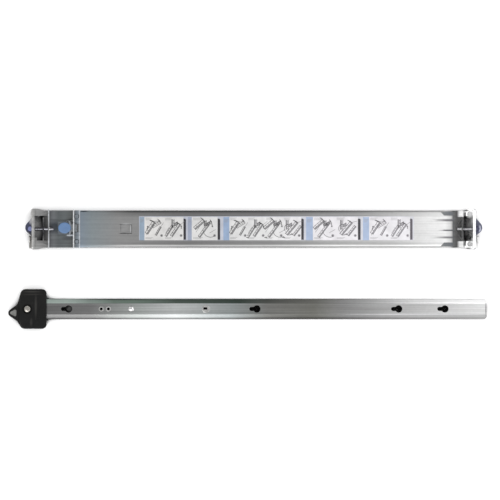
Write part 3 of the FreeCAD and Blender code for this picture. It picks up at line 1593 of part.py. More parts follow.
def nose_inlay():
    """A three-cornered plate on the nose's upper side."""
    body = new_body("nose_inlay", CHASSIS_Y)
    corners = [
        (chassis_place("inlay_tip"), NOSE_Y, "inlay_round"),
        (chassis_place("inlay_base"), f"{NOSE_Y} - inlay_half", "inlay_round"),
        (chassis_place("inlay_base"), f"{NOSE_Y} + inlay_half", "inlay_round"),
    ]
    upward(body, NOSE_TOP, f"{NOSE_TOP} + inlay_sheet", lambda sketch: outline(sketch, corners))
    return body


# ---------------------------------------------------------------- build, check and write
pieces = [
    cabinet_channel(), instruction_label(), slide_outer_member(), slide_middle_member(),
    spacer_rivets(), bracket_rivets(), front_bracket(), rear_bracket(),
    release_lever(), release_pivot_pin(), release_pad(), release_spring(),
    chassis_rail(), chassis_ear(), ear_screw(), ear_nut(), nose_inlay(),
    lock_eyelets(), lock_leaf(), lock_stud(), slotted_boss(),
]
OUTER_CAGE_START = f"({SLIDE_START} + {SLIDE_TRAVEL} / 2 + cage_end_gap)"
INNER_CAGE_START = f"({SLIDE_START} + 6 * cage_end_gap)"
pieces += ball_cage("outer", OUTER_CAGE_START, OUTER_BALL_Y, OUTER_BALL_Z, -1)
pieces += ball_cage("inner", INNER_CAGE_START, INNER_BALL_Y, INNER_BALL_Z, 1)
for end in (FRONT, REAR):
    pieces += [
        flange(end), hook(end), button(end), button_boss(end), latch_rod(end), rod_clip(end),
        latch_spring(end),
    ]

doc.recompute()
faults = [item.Label for item in doc.Objects if {"Invalid", "Error"} & set(item.State)]
if faults:
    raise ValueError(f"these did not compute: {faults}")
for piece in pieces:
    if piece.Shape.isNull() or not piece.Shape.isValid():
        raise ValueError(f"{piece.Label} has no valid shape")

os.makedirs("parts", exist_ok=True)
for piece in pieces:
    piece.Shape.exportStep(f"parts/{piece.Label}.step")
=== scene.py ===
import math

import bmesh
import bpy
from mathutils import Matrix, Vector


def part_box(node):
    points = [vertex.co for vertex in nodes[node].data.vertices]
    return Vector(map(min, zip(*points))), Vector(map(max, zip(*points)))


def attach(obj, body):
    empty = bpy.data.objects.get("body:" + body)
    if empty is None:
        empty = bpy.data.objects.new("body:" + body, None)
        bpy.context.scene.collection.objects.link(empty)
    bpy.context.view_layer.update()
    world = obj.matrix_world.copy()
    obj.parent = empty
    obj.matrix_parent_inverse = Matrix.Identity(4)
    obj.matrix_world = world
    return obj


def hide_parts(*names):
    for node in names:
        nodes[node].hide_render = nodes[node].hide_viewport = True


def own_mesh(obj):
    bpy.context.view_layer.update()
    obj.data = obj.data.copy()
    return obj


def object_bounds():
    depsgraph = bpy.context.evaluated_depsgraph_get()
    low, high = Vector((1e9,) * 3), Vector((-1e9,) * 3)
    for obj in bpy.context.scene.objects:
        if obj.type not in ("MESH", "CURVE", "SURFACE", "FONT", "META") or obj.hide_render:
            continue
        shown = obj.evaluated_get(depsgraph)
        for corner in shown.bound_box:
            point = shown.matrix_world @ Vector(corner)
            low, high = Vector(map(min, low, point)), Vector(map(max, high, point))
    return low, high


# A server rail set lying flat: the cabinet rail with its sprung end brackets, and the chassis
# rail beside it. Everything is in metres, with the front of both rails at -X.

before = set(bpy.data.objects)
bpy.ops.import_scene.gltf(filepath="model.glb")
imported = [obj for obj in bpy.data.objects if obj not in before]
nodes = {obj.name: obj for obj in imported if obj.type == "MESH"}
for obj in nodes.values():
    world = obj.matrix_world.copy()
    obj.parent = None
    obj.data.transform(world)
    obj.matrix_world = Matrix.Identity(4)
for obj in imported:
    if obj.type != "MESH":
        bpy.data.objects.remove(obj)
cad_box = [list(corner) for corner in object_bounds()]
MM = 0.001


# ---------------------------------------------------------------- node materials
class Finish:
    """A principled material whose sockets are fed by procedural nodes. Places in it are shares of
    the box of the node that it is made for: 0 at the front and lower edges, 1 at the others."""

    def __init__(self, name, node=None, roughness=0.5, metallic=0.0, specular=0.5):
        self.low, self.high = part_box(node) if node else [Vector(corner) for corner in cad_box]
        self.material = bpy.data.materials.new(name)
        self.material.use_nodes = True
        self.tree = self.material.node_tree
        self.surface = self.tree.nodes["Principled BSDF"]
        self.surface.inputs["Metallic"].default_value = metallic
        self.surface.inputs["Roughness"].default_value = roughness
        self.surface.inputs["Specular IOR Level"].default_value = specular
        self.place = self.add("ShaderNodeTexCoord").outputs["Object"]

    def add(self, kind, **settings):
        node = self.tree.nodes.new(kind)
        for name, value in settings.items():
            setattr(node, name, value)
        return node

    def join(self, source, target):
        self.tree.links.new(source, target)

    def stretched(self, scale, location=(0, 0, 0)):
        mapping = self.add("ShaderNodeMapping")
        mapping.inputs["Scale"].default_value = scale
        mapping.inputs["Location"].default_value = location
        self.join(self.place, mapping.inputs["Vector"])
        return mapping.outputs["Vector"]

    def noise(self, scale, stretch=(1, 1, 1), detail=3.0, roughness=0.55, location=(0, 0, 0)):
        texture = self.add("ShaderNodeTexNoise")
        texture.inputs["Scale"].default_value = scale
        texture.inputs["Detail"].default_value = detail
        texture.inputs["Roughness"].default_value = roughness
        self.join(self.stretched(stretch, location), texture.inputs["Vector"])
        return texture.outputs["Fac"]

    def cells(self, scale, stretch=(1, 1, 1)):
        texture = self.add("ShaderNodeTexVoronoi")
        texture.inputs["Scale"].default_value = scale
        self.join(self.stretched(stretch), texture.inputs["Vector"])
        return texture

    def along(self, axis):
        """Where a point lies in the node's box on an axis, from 0 to 1."""
        index = "XYZ".index(axis)
        split = self.add("ShaderNodeSeparateXYZ")
        self.join(self.place, split.inputs[0])
        span = self.add("ShaderNodeMapRange")
        span.inputs["From Min"].default_value = self.low[index]
        span.inputs["From Max"].default_value = self.high[index]
        self.join(split.outputs[index], span.inputs["Value"])
        return span.outputs["Result"]

    def ramp(self, factor, stops):
        """A colour ramp; a stop is its place and a colour, or a grey."""
        node = self.add("ShaderNodeValToRGB")
        elements = node.color_ramp.elements
        while len(elements) < len(stops):
            elements.new(0.5)
        for element, (place, colour) in zip(elements, stops):
            element.position = place
            if not isinstance(colour, (tuple, list)):
                colour = (colour, colour, colour)
            element.color = (*colour, 1)
        self.join(factor, node.inputs["Fac"])
        return node.outputs["Color"]

    def tones(self, axis, stops):
        """Colours at places along an axis."""
        return self.ramp(self.along(axis), stops)

    def spot(self, x, y, across_x, across_y):
        """A soft oval seen from above, placed in metres: 1 in its middle and 0 outside."""
        reach = self.add("ShaderNodeVectorMath", operation="LENGTH")
        scale = (1 / across_x, 1 / across_y, 0)
        self.join(self.stretched(scale, (-x / across_x, -y / across_y, 0)), reach.inputs[0])
        return self.ramp(reach.outputs["Value"], [(0.35, 1.0), (1.0, 0.0)])

    def patched(self, base, patches):
        """Soft ovals of other colours: place, reach both ways in mm, colour and strength."""
        size = self.high - self.low
        for right, up, across_x, across_y, colour, strength in patches:
            x, y = self.low.x + size.x * right, self.low.y + size.y * up
            spot = self.math("MULTIPLY", self.spot(x, y, across_x * MM, across_y * MM), strength)
            base = self.mix(spot, base, colour)
        return base

    def painted_lean_light(self, stops):
        """Greys by the way a face leans across the rail, a mask for painted light and shade: 0 is to -Y, 0.5
        is up and 1 is to +Y.
        """
        split = self.add("ShaderNodeSeparateXYZ")
        self.join(self.add("ShaderNodeTexCoord").outputs["Normal"], split.inputs[0])
        span = self.add("ShaderNodeMapRange")
        span.inputs["From Min"].default_value = -1
        self.join(split.outputs["Y"], span.inputs["Value"])
        return self.ramp(span.outputs["Result"], stops)

    def painted_cavity_shade(self, distance, low):
        """Painted shade: darker where other faces stand close."""
        near = self.add("ShaderNodeAmbientOcclusion", samples=8)
        near.inputs["Distance"].default_value = distance
        return self.ramp(near.outputs["AO"], [(0.2, low), (0.7, 1.0)])

    def math(self, operation, first, second):
        node = self.add("ShaderNodeMath", operation=operation)
        for index, value in enumerate((first, second)):
            if isinstance(value, (int, float)):
                node.inputs[index].default_value = value
            else:
                self.join(value, node.inputs[index])
        return node.outputs[0]

    def mix(self, factor, first, second, blend="MIX"):
        node = self.add("ShaderNodeMix", data_type="RGBA", blend_type=blend)
        for socket, value in ((node.inputs[0], factor), (node.inputs[6], first), (node.inputs[7], second)):
            if isinstance(value, (int, float)):
                socket.default_value = value
            elif isinstance(value, tuple):
                socket.default_value = (*value, 1)
            else:
                self.join(value, socket)
        return node.outputs[2]

    def bump(self, height, strength, distance):
        node = self.add("ShaderNodeBump")
        node.inputs["Strength"].default_value = strength
        node.inputs["Distance"].default_value = distance
        self.join(height, node.inputs["Height"])
        return node

    def edges(self, radius):
        """Rounded shading at edges, and how near a point is to one."""
        bevel = self.add("ShaderNodeBevel", samples=4)
        bevel.inputs["Radius"].default_value = radius
        geometry = self.add("ShaderNodeNewGeometry")
        dot = self.add("ShaderNodeVectorMath", operation="DOT_PRODUCT")
        self.join(bevel.outputs["Normal"], dot.inputs[0])
        self.join(geometry.outputs["Normal"], dot.inputs[1])
        near = self.ramp(dot.outputs["Value"], [(0.80, 1.0), (0.985, 0.0)])
        return bevel.outputs["Normal"], near

    def colour(self, output):
        self.join(output, self.surface.inputs["Base Color"])

    def rough(self, factor, low, high):
        span = self.add("ShaderNodeMapRange")
        span.inputs["To Min"].default_value = low
        span.inputs["To Max"].default_value = high
        self.join(factor, span.inputs["Value"])
        self.join(span.outputs["Result"], self.surface.inputs["Roughness"])

    def normal(self, node):
        self.join(node.outputs["Normal"], self.surface.inputs["Normal"])


def steel(name, node, tones, rough=(0.26, 0.42), streak=0.25, edge=0.35, across=None,
          across_share=None, upper=None, lower=None, corners=None, patches=(), shade=0.45):
    """Zinc-plated sheet: rolled streaks along the rail, faint crystal cells and edges lightened as
    wear and as a painted highlight. Its tone, which carries painted light, reflections and shade,
    changes along the rail, across it, on the faces that lean to either side, and in the corners
    where two masks meet; it is darkened as painted shade where faces stand close."""
    finish = Finish(name, node, metallic=1.0)
    base = finish.tones("X", tones)
    if across:
        share = finish.tones("X", across_share)
        base = finish.mix(share, base, finish.mix(1.0, base, finish.tones("Y", across), "MULTIPLY"))
    # painted light and shade on the faces that lean to +Y (upper) and to -Y (lower)
    sides = ((upper, [(0.56, 0.0), (0.62, 1.0)]), (lower, [(0.38, 1.0), (0.44, 0.0)]))
    for side, lean in sides:
        if side:
            painted_lean_light = finish.mix(1.0, base, finish.tones("X", side), "MULTIPLY")
            base = finish.mix(finish.painted_lean_light(lean), base, painted_lean_light)
    # painted highlight in the corners where the two masks meet
    if corners:
        along, across_them, light = corners
        share = finish.mix(1.0, finish.tones("X", along), finish.tones("Y", across_them), "MULTIPLY")
        base = finish.mix(share, base, finish.tones("X", light))
    base = finish.patched(base, patches)
    long_streaks = finish.noise(420, (0.012, 1, 1), detail=5, roughness=0.6)
    short_streaks = finish.noise(900, (0.05, 1, 1), detail=3)
    clouds = finish.noise(14, (0.35, 1, 1), detail=3, location=(2.1, 0.7, 0))
    cells = finish.cells(330)
    veil = finish.ramp(long_streaks, [(0.25, 1 - streak), (0.75, 1 + streak * 0.6)])
    base = finish.mix(1.0, base, veil, "MULTIPLY")
    base = finish.mix(0.55, base, finish.ramp(clouds, [(0.3, 0.8), (0.7, 1.12)]), "MULTIPLY")
    spangle = finish.ramp(cells.outputs["Color"], [(0.0, 0.93), (1.0, 1.05)])
    base = finish.mix(0.5, base, spangle, "MULTIPLY")
    # painted shade where other faces stand close
    base = finish.mix(1.0, base, finish.painted_cavity_shade(8 * MM, shade), "MULTIPLY")
    rounded, near = finish.edges(0.35 * MM)
    # edges lightened, partly as wear and partly as a painted highlight
    base = finish.mix(finish.math("MULTIPLY", near, edge), base, (0.86, 0.88, 0.9))
    finish.colour(base)
    finish.rough(finish.math("ADD", long_streaks, finish.math("MULTIPLY", clouds, 0.3)), *rough)
    relief = finish.bump(short_streaks, 0.16, 0.03 * MM)
    finish.join(rounded, relief.inputs["Normal"])
    finish.normal(relief)
    return finish.material


def turned(name, colour, rough=(0.16, 0.3)):
    """A bright turned or drawn piece, with fine rings and small scuffs."""
    finish = Finish(name, metallic=1.0)
    rings = finish.noise(1500, (1, 1, 0.2), detail=2)
    scuffs = finish.noise(260, detail=6, roughness=0.7)
    base = finish.mix(1.0, colour, finish.ramp(scuffs, [(0.3, 0.7), (0.62, 1.08)]), "MULTIPLY")
    rounded, near = finish.edges(0.25 * MM)
    # edges lightened, partly as wear and partly as a painted highlight
    finish.colour(finish.mix(finish.math("MULTIPLY", near, 0.4), base, (0.95, 0.95, 0.96)))
    finish.rough(scuffs, *rough)
    relief = finish.bump(rings, 0.12, 0.02 * MM)
    finish.join(rounded, relief.inputs["Normal"])
    finish.normal(relief)
    return finish.material


def moulding(name, colour, worn, rough=(0.32, 0.5), grain=0.35, specular=0.5, dusty=0.16, node=None,
             patches=()):
    """Moulded plastic: a fine spark-eroded grain, faint flow marks and lighter rubbed edges."""
    finish = Finish(name, node, specular=specular)
    flow = finish.noise(38, (0.5, 1, 1), detail=4)
    grains = finish.noise(2600, detail=2, roughness=0.5)
    dust = finish.noise(520, detail=8, roughness=0.75)
    base = finish.mix(finish.ramp(flow, [(0.3, 0.0), (0.7, 0.35)]), colour, worn)
    base = finish.mix(finish.ramp(dust, [(0.58, 0.0), (0.75, dusty)]), base, (0.55, 0.55, 0.54))
    base = finish.patched(base, patches)
    rounded, near = finish.edges(0.5 * MM)
    finish.colour(finish.mix(finish.math("MULTIPLY", near, 0.5), base, worn))
    finish.rough(flow, *rough)
    relief = finish.bump(grains, grain, 0.04 * MM)
    finish.join(rounded, relief.inputs["Normal"])
    finish.normal(relief)
    return finish.material


def printed(name, tones, rough=0.42):
    """Ink or film on the label: slightly uneven, with a soft gloss and paper tooth."""
    finish = Finish(name, "instruction_label", roughness=rough, specular=0.3)
    uneven = finish.noise(90, detail=4)
    tooth = finish.noise(3200, detail=2)
    veil = finish.ramp(uneven, [(0.35, 0.9), (0.7, 1.06)])
    finish.colour(finish.mix(1.0, finish.tones("X", tones), veil, "MULTIPLY"))
    finish.rough(uneven, rough - 0.08, rough + 0.08)
    finish.normal(finish.bump(tooth, 0.1, 0.02 * MM))
    return finish.material


# tones along the rails, from the front end (0) to the rear end (1), and across them from the
# lower edge (0) to the upper one (1): the plating's tone with painted reflections, highlights and shade
CHANNEL_TONE_AND_LIGHT = [
    (0.0, (0.27, 0.32, 0.38)), (0.03, (0.30, 0.34, 0.36)), (0.1, 0.33), (0.3, 0.28), (0.5, 0.35),
    (0.65, 0.46), (0.83, 0.5), (0.94, 0.65), (0.98, 0.65), (0.995, 0.48), (1.0, 0.15),
]
CHANNEL_ACROSS_LIGHT = [
    (0.0, 0.7), (0.03, 0.95), (0.045, 1.5), (0.055, 2.5), (0.065, 2.2), (0.08, 1.1), (0.115, 0.8),
    (0.16, 1.0), (0.8, 1.0), (0.85, 0.8), (0.92, 0.7), (0.95, 0.45), (0.97, 0.27), (1.0, 0.35),
]
CHANNEL_SHARE = [(0.01, 0.15), (0.06, 0.3), (0.14, 1.0), (0.65, 1.0), (0.8, 0.55), (0.96, 0.5)]
# painted shade at the front end of the upper edge, painted highlight and shadow on the rim of the
# lanced tab, and painted shade in the grooves beside the tongue
CHANNEL_LIGHT_AND_SHADE_PATCHES = [
    (0.01, 0.98, 7.5, 1.1, (0.01, 0.01, 0.01), 0.95),
    (0.123, 0.63, 9.0, 1.1, (0.62, 0.63, 0.64), 0.9),
    (0.136, 0.5, 1.1, 8.5, (0.62, 0.63, 0.64), 0.8),
    (0.119, 0.39, 8.0, 1.2, (0.16, 0.16, 0.16), 0.85),
    (0.109, 0.51, 1.2, 7.0, (0.20, 0.20, 0.20), 0.7),
    (0.998, 0.74, 28.0, 2.2, (0.10, 0.10, 0.11), 0.9),
    (0.996, 0.465, 20.0, 1.5, (0.10, 0.10, 0.11), 0.85),
    (0.998, 0.275, 28.0, 2.0, (0.10, 0.10, 0.11), 0.85),
]
CHASSIS_TONE_AND_LIGHT = [
    (0.0, 0.19), (0.15, 0.21), (0.25, (0.40, 0.42, 0.41)), (0.33, (0.56, 0.58, 0.58)),
    (0.45, (0.37, 0.40, 0.40)), (0.53, (0.24, 0.24, 0.23)), (0.63, (0.23, 0.23, 0.21)), (0.7, 0.33),
    (0.85, 0.55), (1.0, 0.65),
]
CHASSIS_ACROSS_LIGHT = [
    (0.0, 0.55), (0.05, 0.62), (0.1, 0.88), (0.15, 1.15), (0.2, 1.12), (0.25, 1.0), (0.9, 1.0),
    (0.95, 0.9), (0.98, 0.6),
]
CHASSIS_SHARE = [(0.03, 0.6), (0.64, 1.0), (0.77, 0.6), (1.0, 0.5)]
# painted shade in the groove under the upper edge and on the rear end's rim, and a painted
# highlight as the light line along the lower bend
CHASSIS_LIGHT_AND_SHADE_PATCHES = [
    (0.21, 0.98, 75.0, 1.4, (0.004, 0.006, 0.005), 0.95),
    (0.08, 1.0, 30.0, 1.2, (0.004, 0.005, 0.005), 0.95),
    (0.998, 0.47, 1.1, 13.0, (0.16, 0.16, 0.17), 0.8),
    (0.85, 0.235, 110.0, 1.3, (0.82, 0.82, 0.84), 0.6),
]
# painted light and shade on the chassis rail's bevels against its web
CHASSIS_UPPER_LIGHT = [
    (0.05, (2.2, 2.6, 2.4)), (0.1, (2.2, 2.6, 2.4)), (0.2, (0.6, 0.75, 0.65)),
    (0.33, (0.17, 0.21, 0.18)), (0.47, (0.17, 0.21, 0.18)), (0.62, 0.8), (1.0, 2.0),
]
CHASSIS_LOWER_LIGHT = [(0.0, 0.9), (0.45, 0.9), (0.6, 0.5), (1.0, 0.8)]
# the front bracket's sheet, painted dark as shade on its recesses, with painted highlights as the
# light strips of its bends
FRONT_LIGHT_AND_SHADE_TONES = [
    (0.0, (0.50, 0.50, 0.49)), (0.07, 0.40), (0.16, 0.30), (0.215, 0.31), (0.216, (0.66, 0.68, 0.70)),
    (0.235, (0.66, 0.68, 0.70)), (0.236, (0.16, 0.17, 0.18)), (0.3, (0.20, 0.21, 0.22)),
    (0.365, (0.15, 0.165, 0.17)), (0.47, (0.175, 0.19, 0.195)), (0.566, (0.15, 0.16, 0.16)),
    (0.58, 0.22), (0.581, (0.88, 0.90, 0.92)), (0.597, (0.88, 0.90, 0.92)),
    (0.598, (0.23, 0.25, 0.27)), (0.63, (0.22, 0.25, 0.28)), (0.656, (0.30, 0.34, 0.38)),
    (0.67, (0.42, 0.47, 0.51)), (0.673, (0.85, 0.88, 0.92)), (0.7, (0.85, 0.88, 0.92)),
]
# painted highlights on the lever beside the pad, and painted shade in the window and around the pad
FRONT_LIGHT_AND_SHADE_PATCHES = [
    (0.534, 0.35, 6.5, 2.6, (0.66, 0.70, 0.76), 0.85),
    (0.503, 0.44, 5.0, 2.0, (0.42, 0.46, 0.52), 0.8),
    (0.307, 0.555, 8.5, 12.0, (0.06, 0.07, 0.085), 0.8),
    (0.492, 0.28, 10.0, 4.0, (0.07, 0.07, 0.08), 0.5),
    (0.153, 0.5, 9.5, 20.0, (0.03, 0.03, 0.035), 0.9),
]
# the rear bracket: its head painted dark as shade, and painted highlights on the corners above and
# below the window
REAR_LIGHT_AND_SHADE_TONES = [
    (0.0, 0.34), (0.894, 0.34), (0.902, 0.26), (0.911, (0.17, 0.18, 0.185)),
    (0.931, (0.13, 0.14, 0.15)), (0.942, 0.10), (0.95, 0.065), (0.968, 0.085), (0.982, 0.06),
    (0.991, 0.09), (0.994, 0.62), (1.0, 0.85),
]
REAR_CORNERS = [(0.951, 0.0), (0.955, 1.0)]
REAR_EDGES = [(0.19, 1.0), (0.21, 0.0), (0.79, 0.0), (0.81, 1.0)]
REAR_CORNER_HIGHLIGHT = [(0.95, 0.6), (0.969, 0.64), (0.975, 0.98)]
# painted shade along the rear bracket's rims
REAR_RIM_SHADE = [
    (0.981, 0.03, 7.0, 1.6, (0.02, 0.02, 0.02), 0.97),
    (0.976, 0.95, 5.5, 1.6, (0.02, 0.02, 0.02), 0.97),
    (0.97, 0.86, 1.8, 6.0, (0.05, 0.05, 0.05), 0.85),
    (0.97, 0.14, 1.8, 7.0, (0.05, 0.05, 0.05), 0.85),
]
# a painted highlight on the upper flank and painted shade on the lower one of the front nose; a
# painted highlight crescent on the rear nose, with painted shade beside it
FRONT_NOSE_LIGHT_AND_SHADE = [
    (0.65, 0.78, 3.8, 6.0, (0.42, 0.42, 0.44), 0.85),
    (0.45, 0.12, 6.0, 4.5, (0.012, 0.014, 0.02), 0.9),
]
REAR_NOSE_LIGHT_AND_SHADE = [
    (0.73, 0.39, 2.2, 6.2, (0.45, 0.46, 0.56), 0.8),
    (0.39, 0.4, 3.4, 7.5, (0.016, 0.018, 0.05), 0.85),
]
# painted highlights on the ear's rib and along its upper and lower edges
EAR_HIGHLIGHTS = [
    (0.72, 0.56, 2.2, 20.0, (0.05, 0.048, 0.045), 0.5),
    (0.61, 0.935, 15.0, 1.4, (0.045, 0.043, 0.04), 0.6),
    (0.61, 0.865, 17.0, 1.2, (0.035, 0.033, 0.03), 0.5),
    (0.6, 0.16, 2.2, 7.0, (0.05, 0.048, 0.045), 0.45),
]
NAVY, RUBBED_NAVY = (0.022, 0.027, 0.062), (0.09, 0.10, 0.17)

MATERIALS = {
    "channel": steel("channel_zinc", "cabinet_channel", CHANNEL_TONE_AND_LIGHT, across=CHANNEL_ACROSS_LIGHT,
                     across_share=CHANNEL_SHARE, patches=CHANNEL_LIGHT_AND_SHADE_PATCHES, streak=0.14),
    "front_head": steel("front_bracket_zinc", "front_bracket", FRONT_LIGHT_AND_SHADE_TONES, streak=0.3, edge=0.5,
                        patches=FRONT_LIGHT_AND_SHADE_PATCHES, shade=0.35),
    "front_plate": steel("front_flange_zinc", "front_flange", [(0.0, (0.57, 0.56, 0.54)), (1.0, 0.6)],
                         streak=0.35),
    "rear_head": steel("rear_bracket_zinc", "rear_bracket", REAR_LIGHT_AND_SHADE_TONES, edge=0.5, shade=0.4,
                       patches=REAR_RIM_SHADE, corners=(REAR_CORNERS, REAR_EDGES, REAR_CORNER_HIGHLIGHT)),
    # the rear flange is painted lighter than the front one, as painted light
    "lit_rear_plate": steel("rear_flange_zinc_lit", "rear_flange", [(0.0, (0.74, 0.75, 0.77)), (1.0, 0.78)],
                        streak=0.2),
    # the slide's front end is painted dark as shade
    "slide": steel("slide_zinc_front_shade", "slide_outer_member", [(0.0, 0.06), (0.04, 0.52), (1.0, 0.6)]),
    "chassis": steel("chassis_rail_zinc", "chassis_rail", CHASSIS_TONE_AND_LIGHT, rough=(0.22, 0.38),
                     upper=CHASSIS_UPPER_LIGHT, lower=CHASSIS_LOWER_LIGHT, across=CHASSIS_ACROSS_LIGHT,
                     across_share=CHASSIS_SHARE, patches=CHASSIS_LIGHT_AND_SHADE_PATCHES),
    "lever": steel("lever_zinc", "release_lever", [(0.0, (0.16, 0.18, 0.20)), (0.57, (0.30, 0.33, 0.37)),
                                                   (0.72, (0.27, 0.29, 0.31)), (1.0, (0.25, 0.27, 0.29))]),
    "bright": turned("bright_zinc", (0.6, 0.6, 0.59)),
    # the front rod is painted darker than the rear one, as shade inside the front bracket
    "front_rod_shaded": turned("front_rod_steel_shaded", (0.30, 0.30, 0.33)),
    "rear_rod": turned("rear_rod_steel", (0.55, 0.55, 0.57)),
    "rivet": turned("rivet_zinc", (0.26, 0.29, 0.32), rough=(0.3, 0.45)),
    "stud": turned("stud_nickel", (0.9, 0.9, 0.9), rough=(0.08, 0.18)),
    "screw": turned("screw_zinc", (0.42, 0.40, 0.37), rough=(0.2, 0.34)),
    "cage": turned("cage_steel", (0.42, 0.42, 0.4), rough=(0.3, 0.45)),
    "ball": turned("ball_steel", (0.84, 0.84, 0.86), rough=(0.04, 0.1)),
    # the front spring is painted darker than the rear one, as shade inside the front bracket
    "front_spring_shaded": turned("front_spring_steel_shaded", (0.05, 0.05, 0.055), rough=(0.3, 0.42)),
    "spring": turned("spring_steel", (0.13, 0.13, 0.14), rough=(0.3, 0.42)),
    "inlay": turned("inlay_metal", (0.27, 0.27, 0.26), rough=(0.3, 0.45)),
    "front_nose": moulding("front_nose_plastic", NAVY, RUBBED_NAVY, rough=(0.22, 0.36), grain=0.2,
                           node="front_button", patches=FRONT_NOSE_LIGHT_AND_SHADE),
    "rear_nose": moulding("rear_nose_plastic", NAVY, RUBBED_NAVY, rough=(0.22, 0.36), grain=0.2,
                          node="rear_button", patches=REAR_NOSE_LIGHT_AND_SHADE),
    "boss": moulding("boss_plastic", (0.15, 0.17, 0.34), (0.3, 0.32, 0.48), rough=(0.25, 0.4), grain=0.2),
    "rear_boss": moulding("rear_boss_plastic", (0.014, 0.016, 0.05), (0.04, 0.045, 0.11),
                          rough=(0.25, 0.4), grain=0.2),
    "pad": moulding("pad_plastic", (0.085, 0.165, 0.32), (0.17, 0.25, 0.40), rough=(0.4, 0.56), grain=0.3),
    "black": moulding("black_plastic", (0.0035, 0.0035, 0.0035), (0.016, 0.016, 0.015), rough=(0.36, 0.55),
                      grain=0.45, specular=0.16, dusty=0.05, node="chassis_ear", patches=EAR_HIGHLIGHTS),
    "film": printed("label_film", [(0.0, (0.36, 0.38, 0.44)), (1.0, (0.56, 0.56, 0.60))]),
}
paper = printed("label_paper", [(0.0, (0.56, 0.55, 0.54)), (0.3, 0.56), (0.45, 0.6),
                                (0.65, (0.645, 0.63, 0.65)), (1.0, (0.635, 0.625, 0.65))])
blue_ink = printed("label_blue", [(0.0, (0.22, 0.285, 0.36)), (0.18, (0.27, 0.30, 0.38)),
                                  (0.31, (0.25, 0.33, 0.47)), (0.62, (0.32, 0.39, 0.53)),
                                  (1.0, (0.33, 0.40, 0.54))])
bar_ink = printed("label_bar", [(0.0, (0.022, 0.022, 0.026)), (1.0, (0.05, 0.048, 0.055))])
last_bar_ink = printed("label_last_bar", [(0.0, (0.10, 0.09, 0.105)), (1.0, (0.105, 0.095, 0.11))])
line_ink = printed("label_line", [(0.0, 0.045), (0.4, 0.08), (1.0, (0.14, 0.13, 0.145))])
tint_ink = printed("label_tint", [(0.0, 0.22), (1.0, (0.30, 0.29, 0.31))])
grey_ink = printed("label_grey", [(0.0, 0.15), (1.0, (0.20, 0.19, 0.21))])

DRESS = {
    "cabinet_channel": "channel", "front_bracket": "front_head", "front_flange": "front_plate",
    "front_hook": "front_plate", "rear_bracket": "rear_head", "rear_flange": "lit_rear_plate",
    "rear_hook": "lit_rear_plate", "slide_outer_member": "slide", "slide_middle_member": "slide",
    "chassis_rail": "chassis", "release_lever": "lever", "spacer_rivets": "bright",
    "bracket_rivets": "rivet", "release_pivot_pin": "bright", "front_latch_rod": "front_rod_shaded",
    "rear_latch_rod": "rear_rod", "front_rod_clip": "bright", "rear_rod_clip": "bright",
    "ear_screw": "screw", "ear_nut": "bright", "lock_eyelets": "bright", "slotted_boss": "bright",
    "lock_stud": "stud", "outer_ball_cages": "cage", "inner_ball_cages": "cage",
    "outer_balls": "ball", "inner_balls": "ball", "front_latch_spring": "spring",
    "rear_latch_spring": "spring", "release_spring": "spring", "lock_leaf": "spring",
    "front_button": "front_nose", "rear_button": "rear_nose", "front_button_boss": "boss",
    "rear_button_boss": "rear_boss", "release_pad": "pad", "chassis_ear": "black",
    "nose_inlay": "inlay", "instruction_label": "film",
}
for name, node in nodes.items():
    node.data.materials.clear()
    node.data.materials.append(MATERIALS[DRESS[name]])


# ---------------------------------------------------------------- new pieces
def mesh_piece(name, mesh, materials, body):
    data = bpy.data.meshes.new(name)
    mesh.to_mesh(data)
    mesh.free()
    piece = bpy.data.objects.new(name, data)
    bpy.context.scene.collection.objects.link(piece)
    for material in materials:
        data.materials.append(material)
    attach(piece, body)
    return piece


def middle(node):
    low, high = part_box(node)
    return (low + high) / 2


class Print:
    """Flat printed shapes on the label, laid one layer over another."""

    LAYER = 0.012 * MM

    def __init__(self, top):
        self.mesh = bmesh.new()
        self.top = top

    def shape(self, points, ink, layer):
        z = self.top + self.LAYER * layer
        face = self.mesh.faces.new([self.mesh.verts.new((x, y, z)) for x, y in points])
        face.material_index = ink
        face.normal_update()
        if face.normal.z < 0:
            face.normal_flip()

    def box(self, x0, y0, x1, y1, ink, layer):
        self.shape([(x0, y0), (x1, y0), (x1, y1), (x0, y1)], ink, layer)

    def rounded_bar(self, x0, y0, x1, y1, radius, ink, layer):
        """A bar whose upper corner at the right is rounded."""
        points = [(x0, y0), (x1, y0)]
        for step in range(7):
            turn = math.radians(15 * step)
            points.append((x1 - radius + radius * math.cos(turn), y1 - radius + radius * math.sin(turn)))
        points.append((x0, y1))
        self.shape(points, ink, layer)

    def line(self, start, end, width, ink, layer):
        along = (Vector(end) - Vector(start)).normalized() * width / 2
        side = Vector((-along.y, along.x))
        a, b = Vector(start) - along, Vector(end) + along
        self.shape([tuple(p) for p in (a + side, a - side, b - side, b + side)], ink, layer)

    def path(self, points, width, ink, layer, closed=False):
        ends = points[1:] + points[:1] if closed else points[1:]
        for start, end in zip(points, ends):
            self.line(start, end, width, ink, layer)

    def dot(self, x, y, radius, ink, layer):
        points = []
        for step in range(14):
            turn = 2 * math.pi * step / 14
            points.append((x + radius * math.cos(turn), y + radius * math.sin(turn)))
        self.shape(points, ink, layer)


PAPER, BLUE, BAR, LAST_BAR, LINE, TINT, GREY = range(7)
film_low, film_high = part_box("instruction_label")
label = Print(film_high.z + 0.01 * MM)
left, right = film_low.x, film_high.x
low, high = film_low.y + 0.1 * MM, film_high.y - 0.95 * MM
bar_low, bar_high = film_low.y + 0.8 * MM, film_high.y - 3.2 * MM

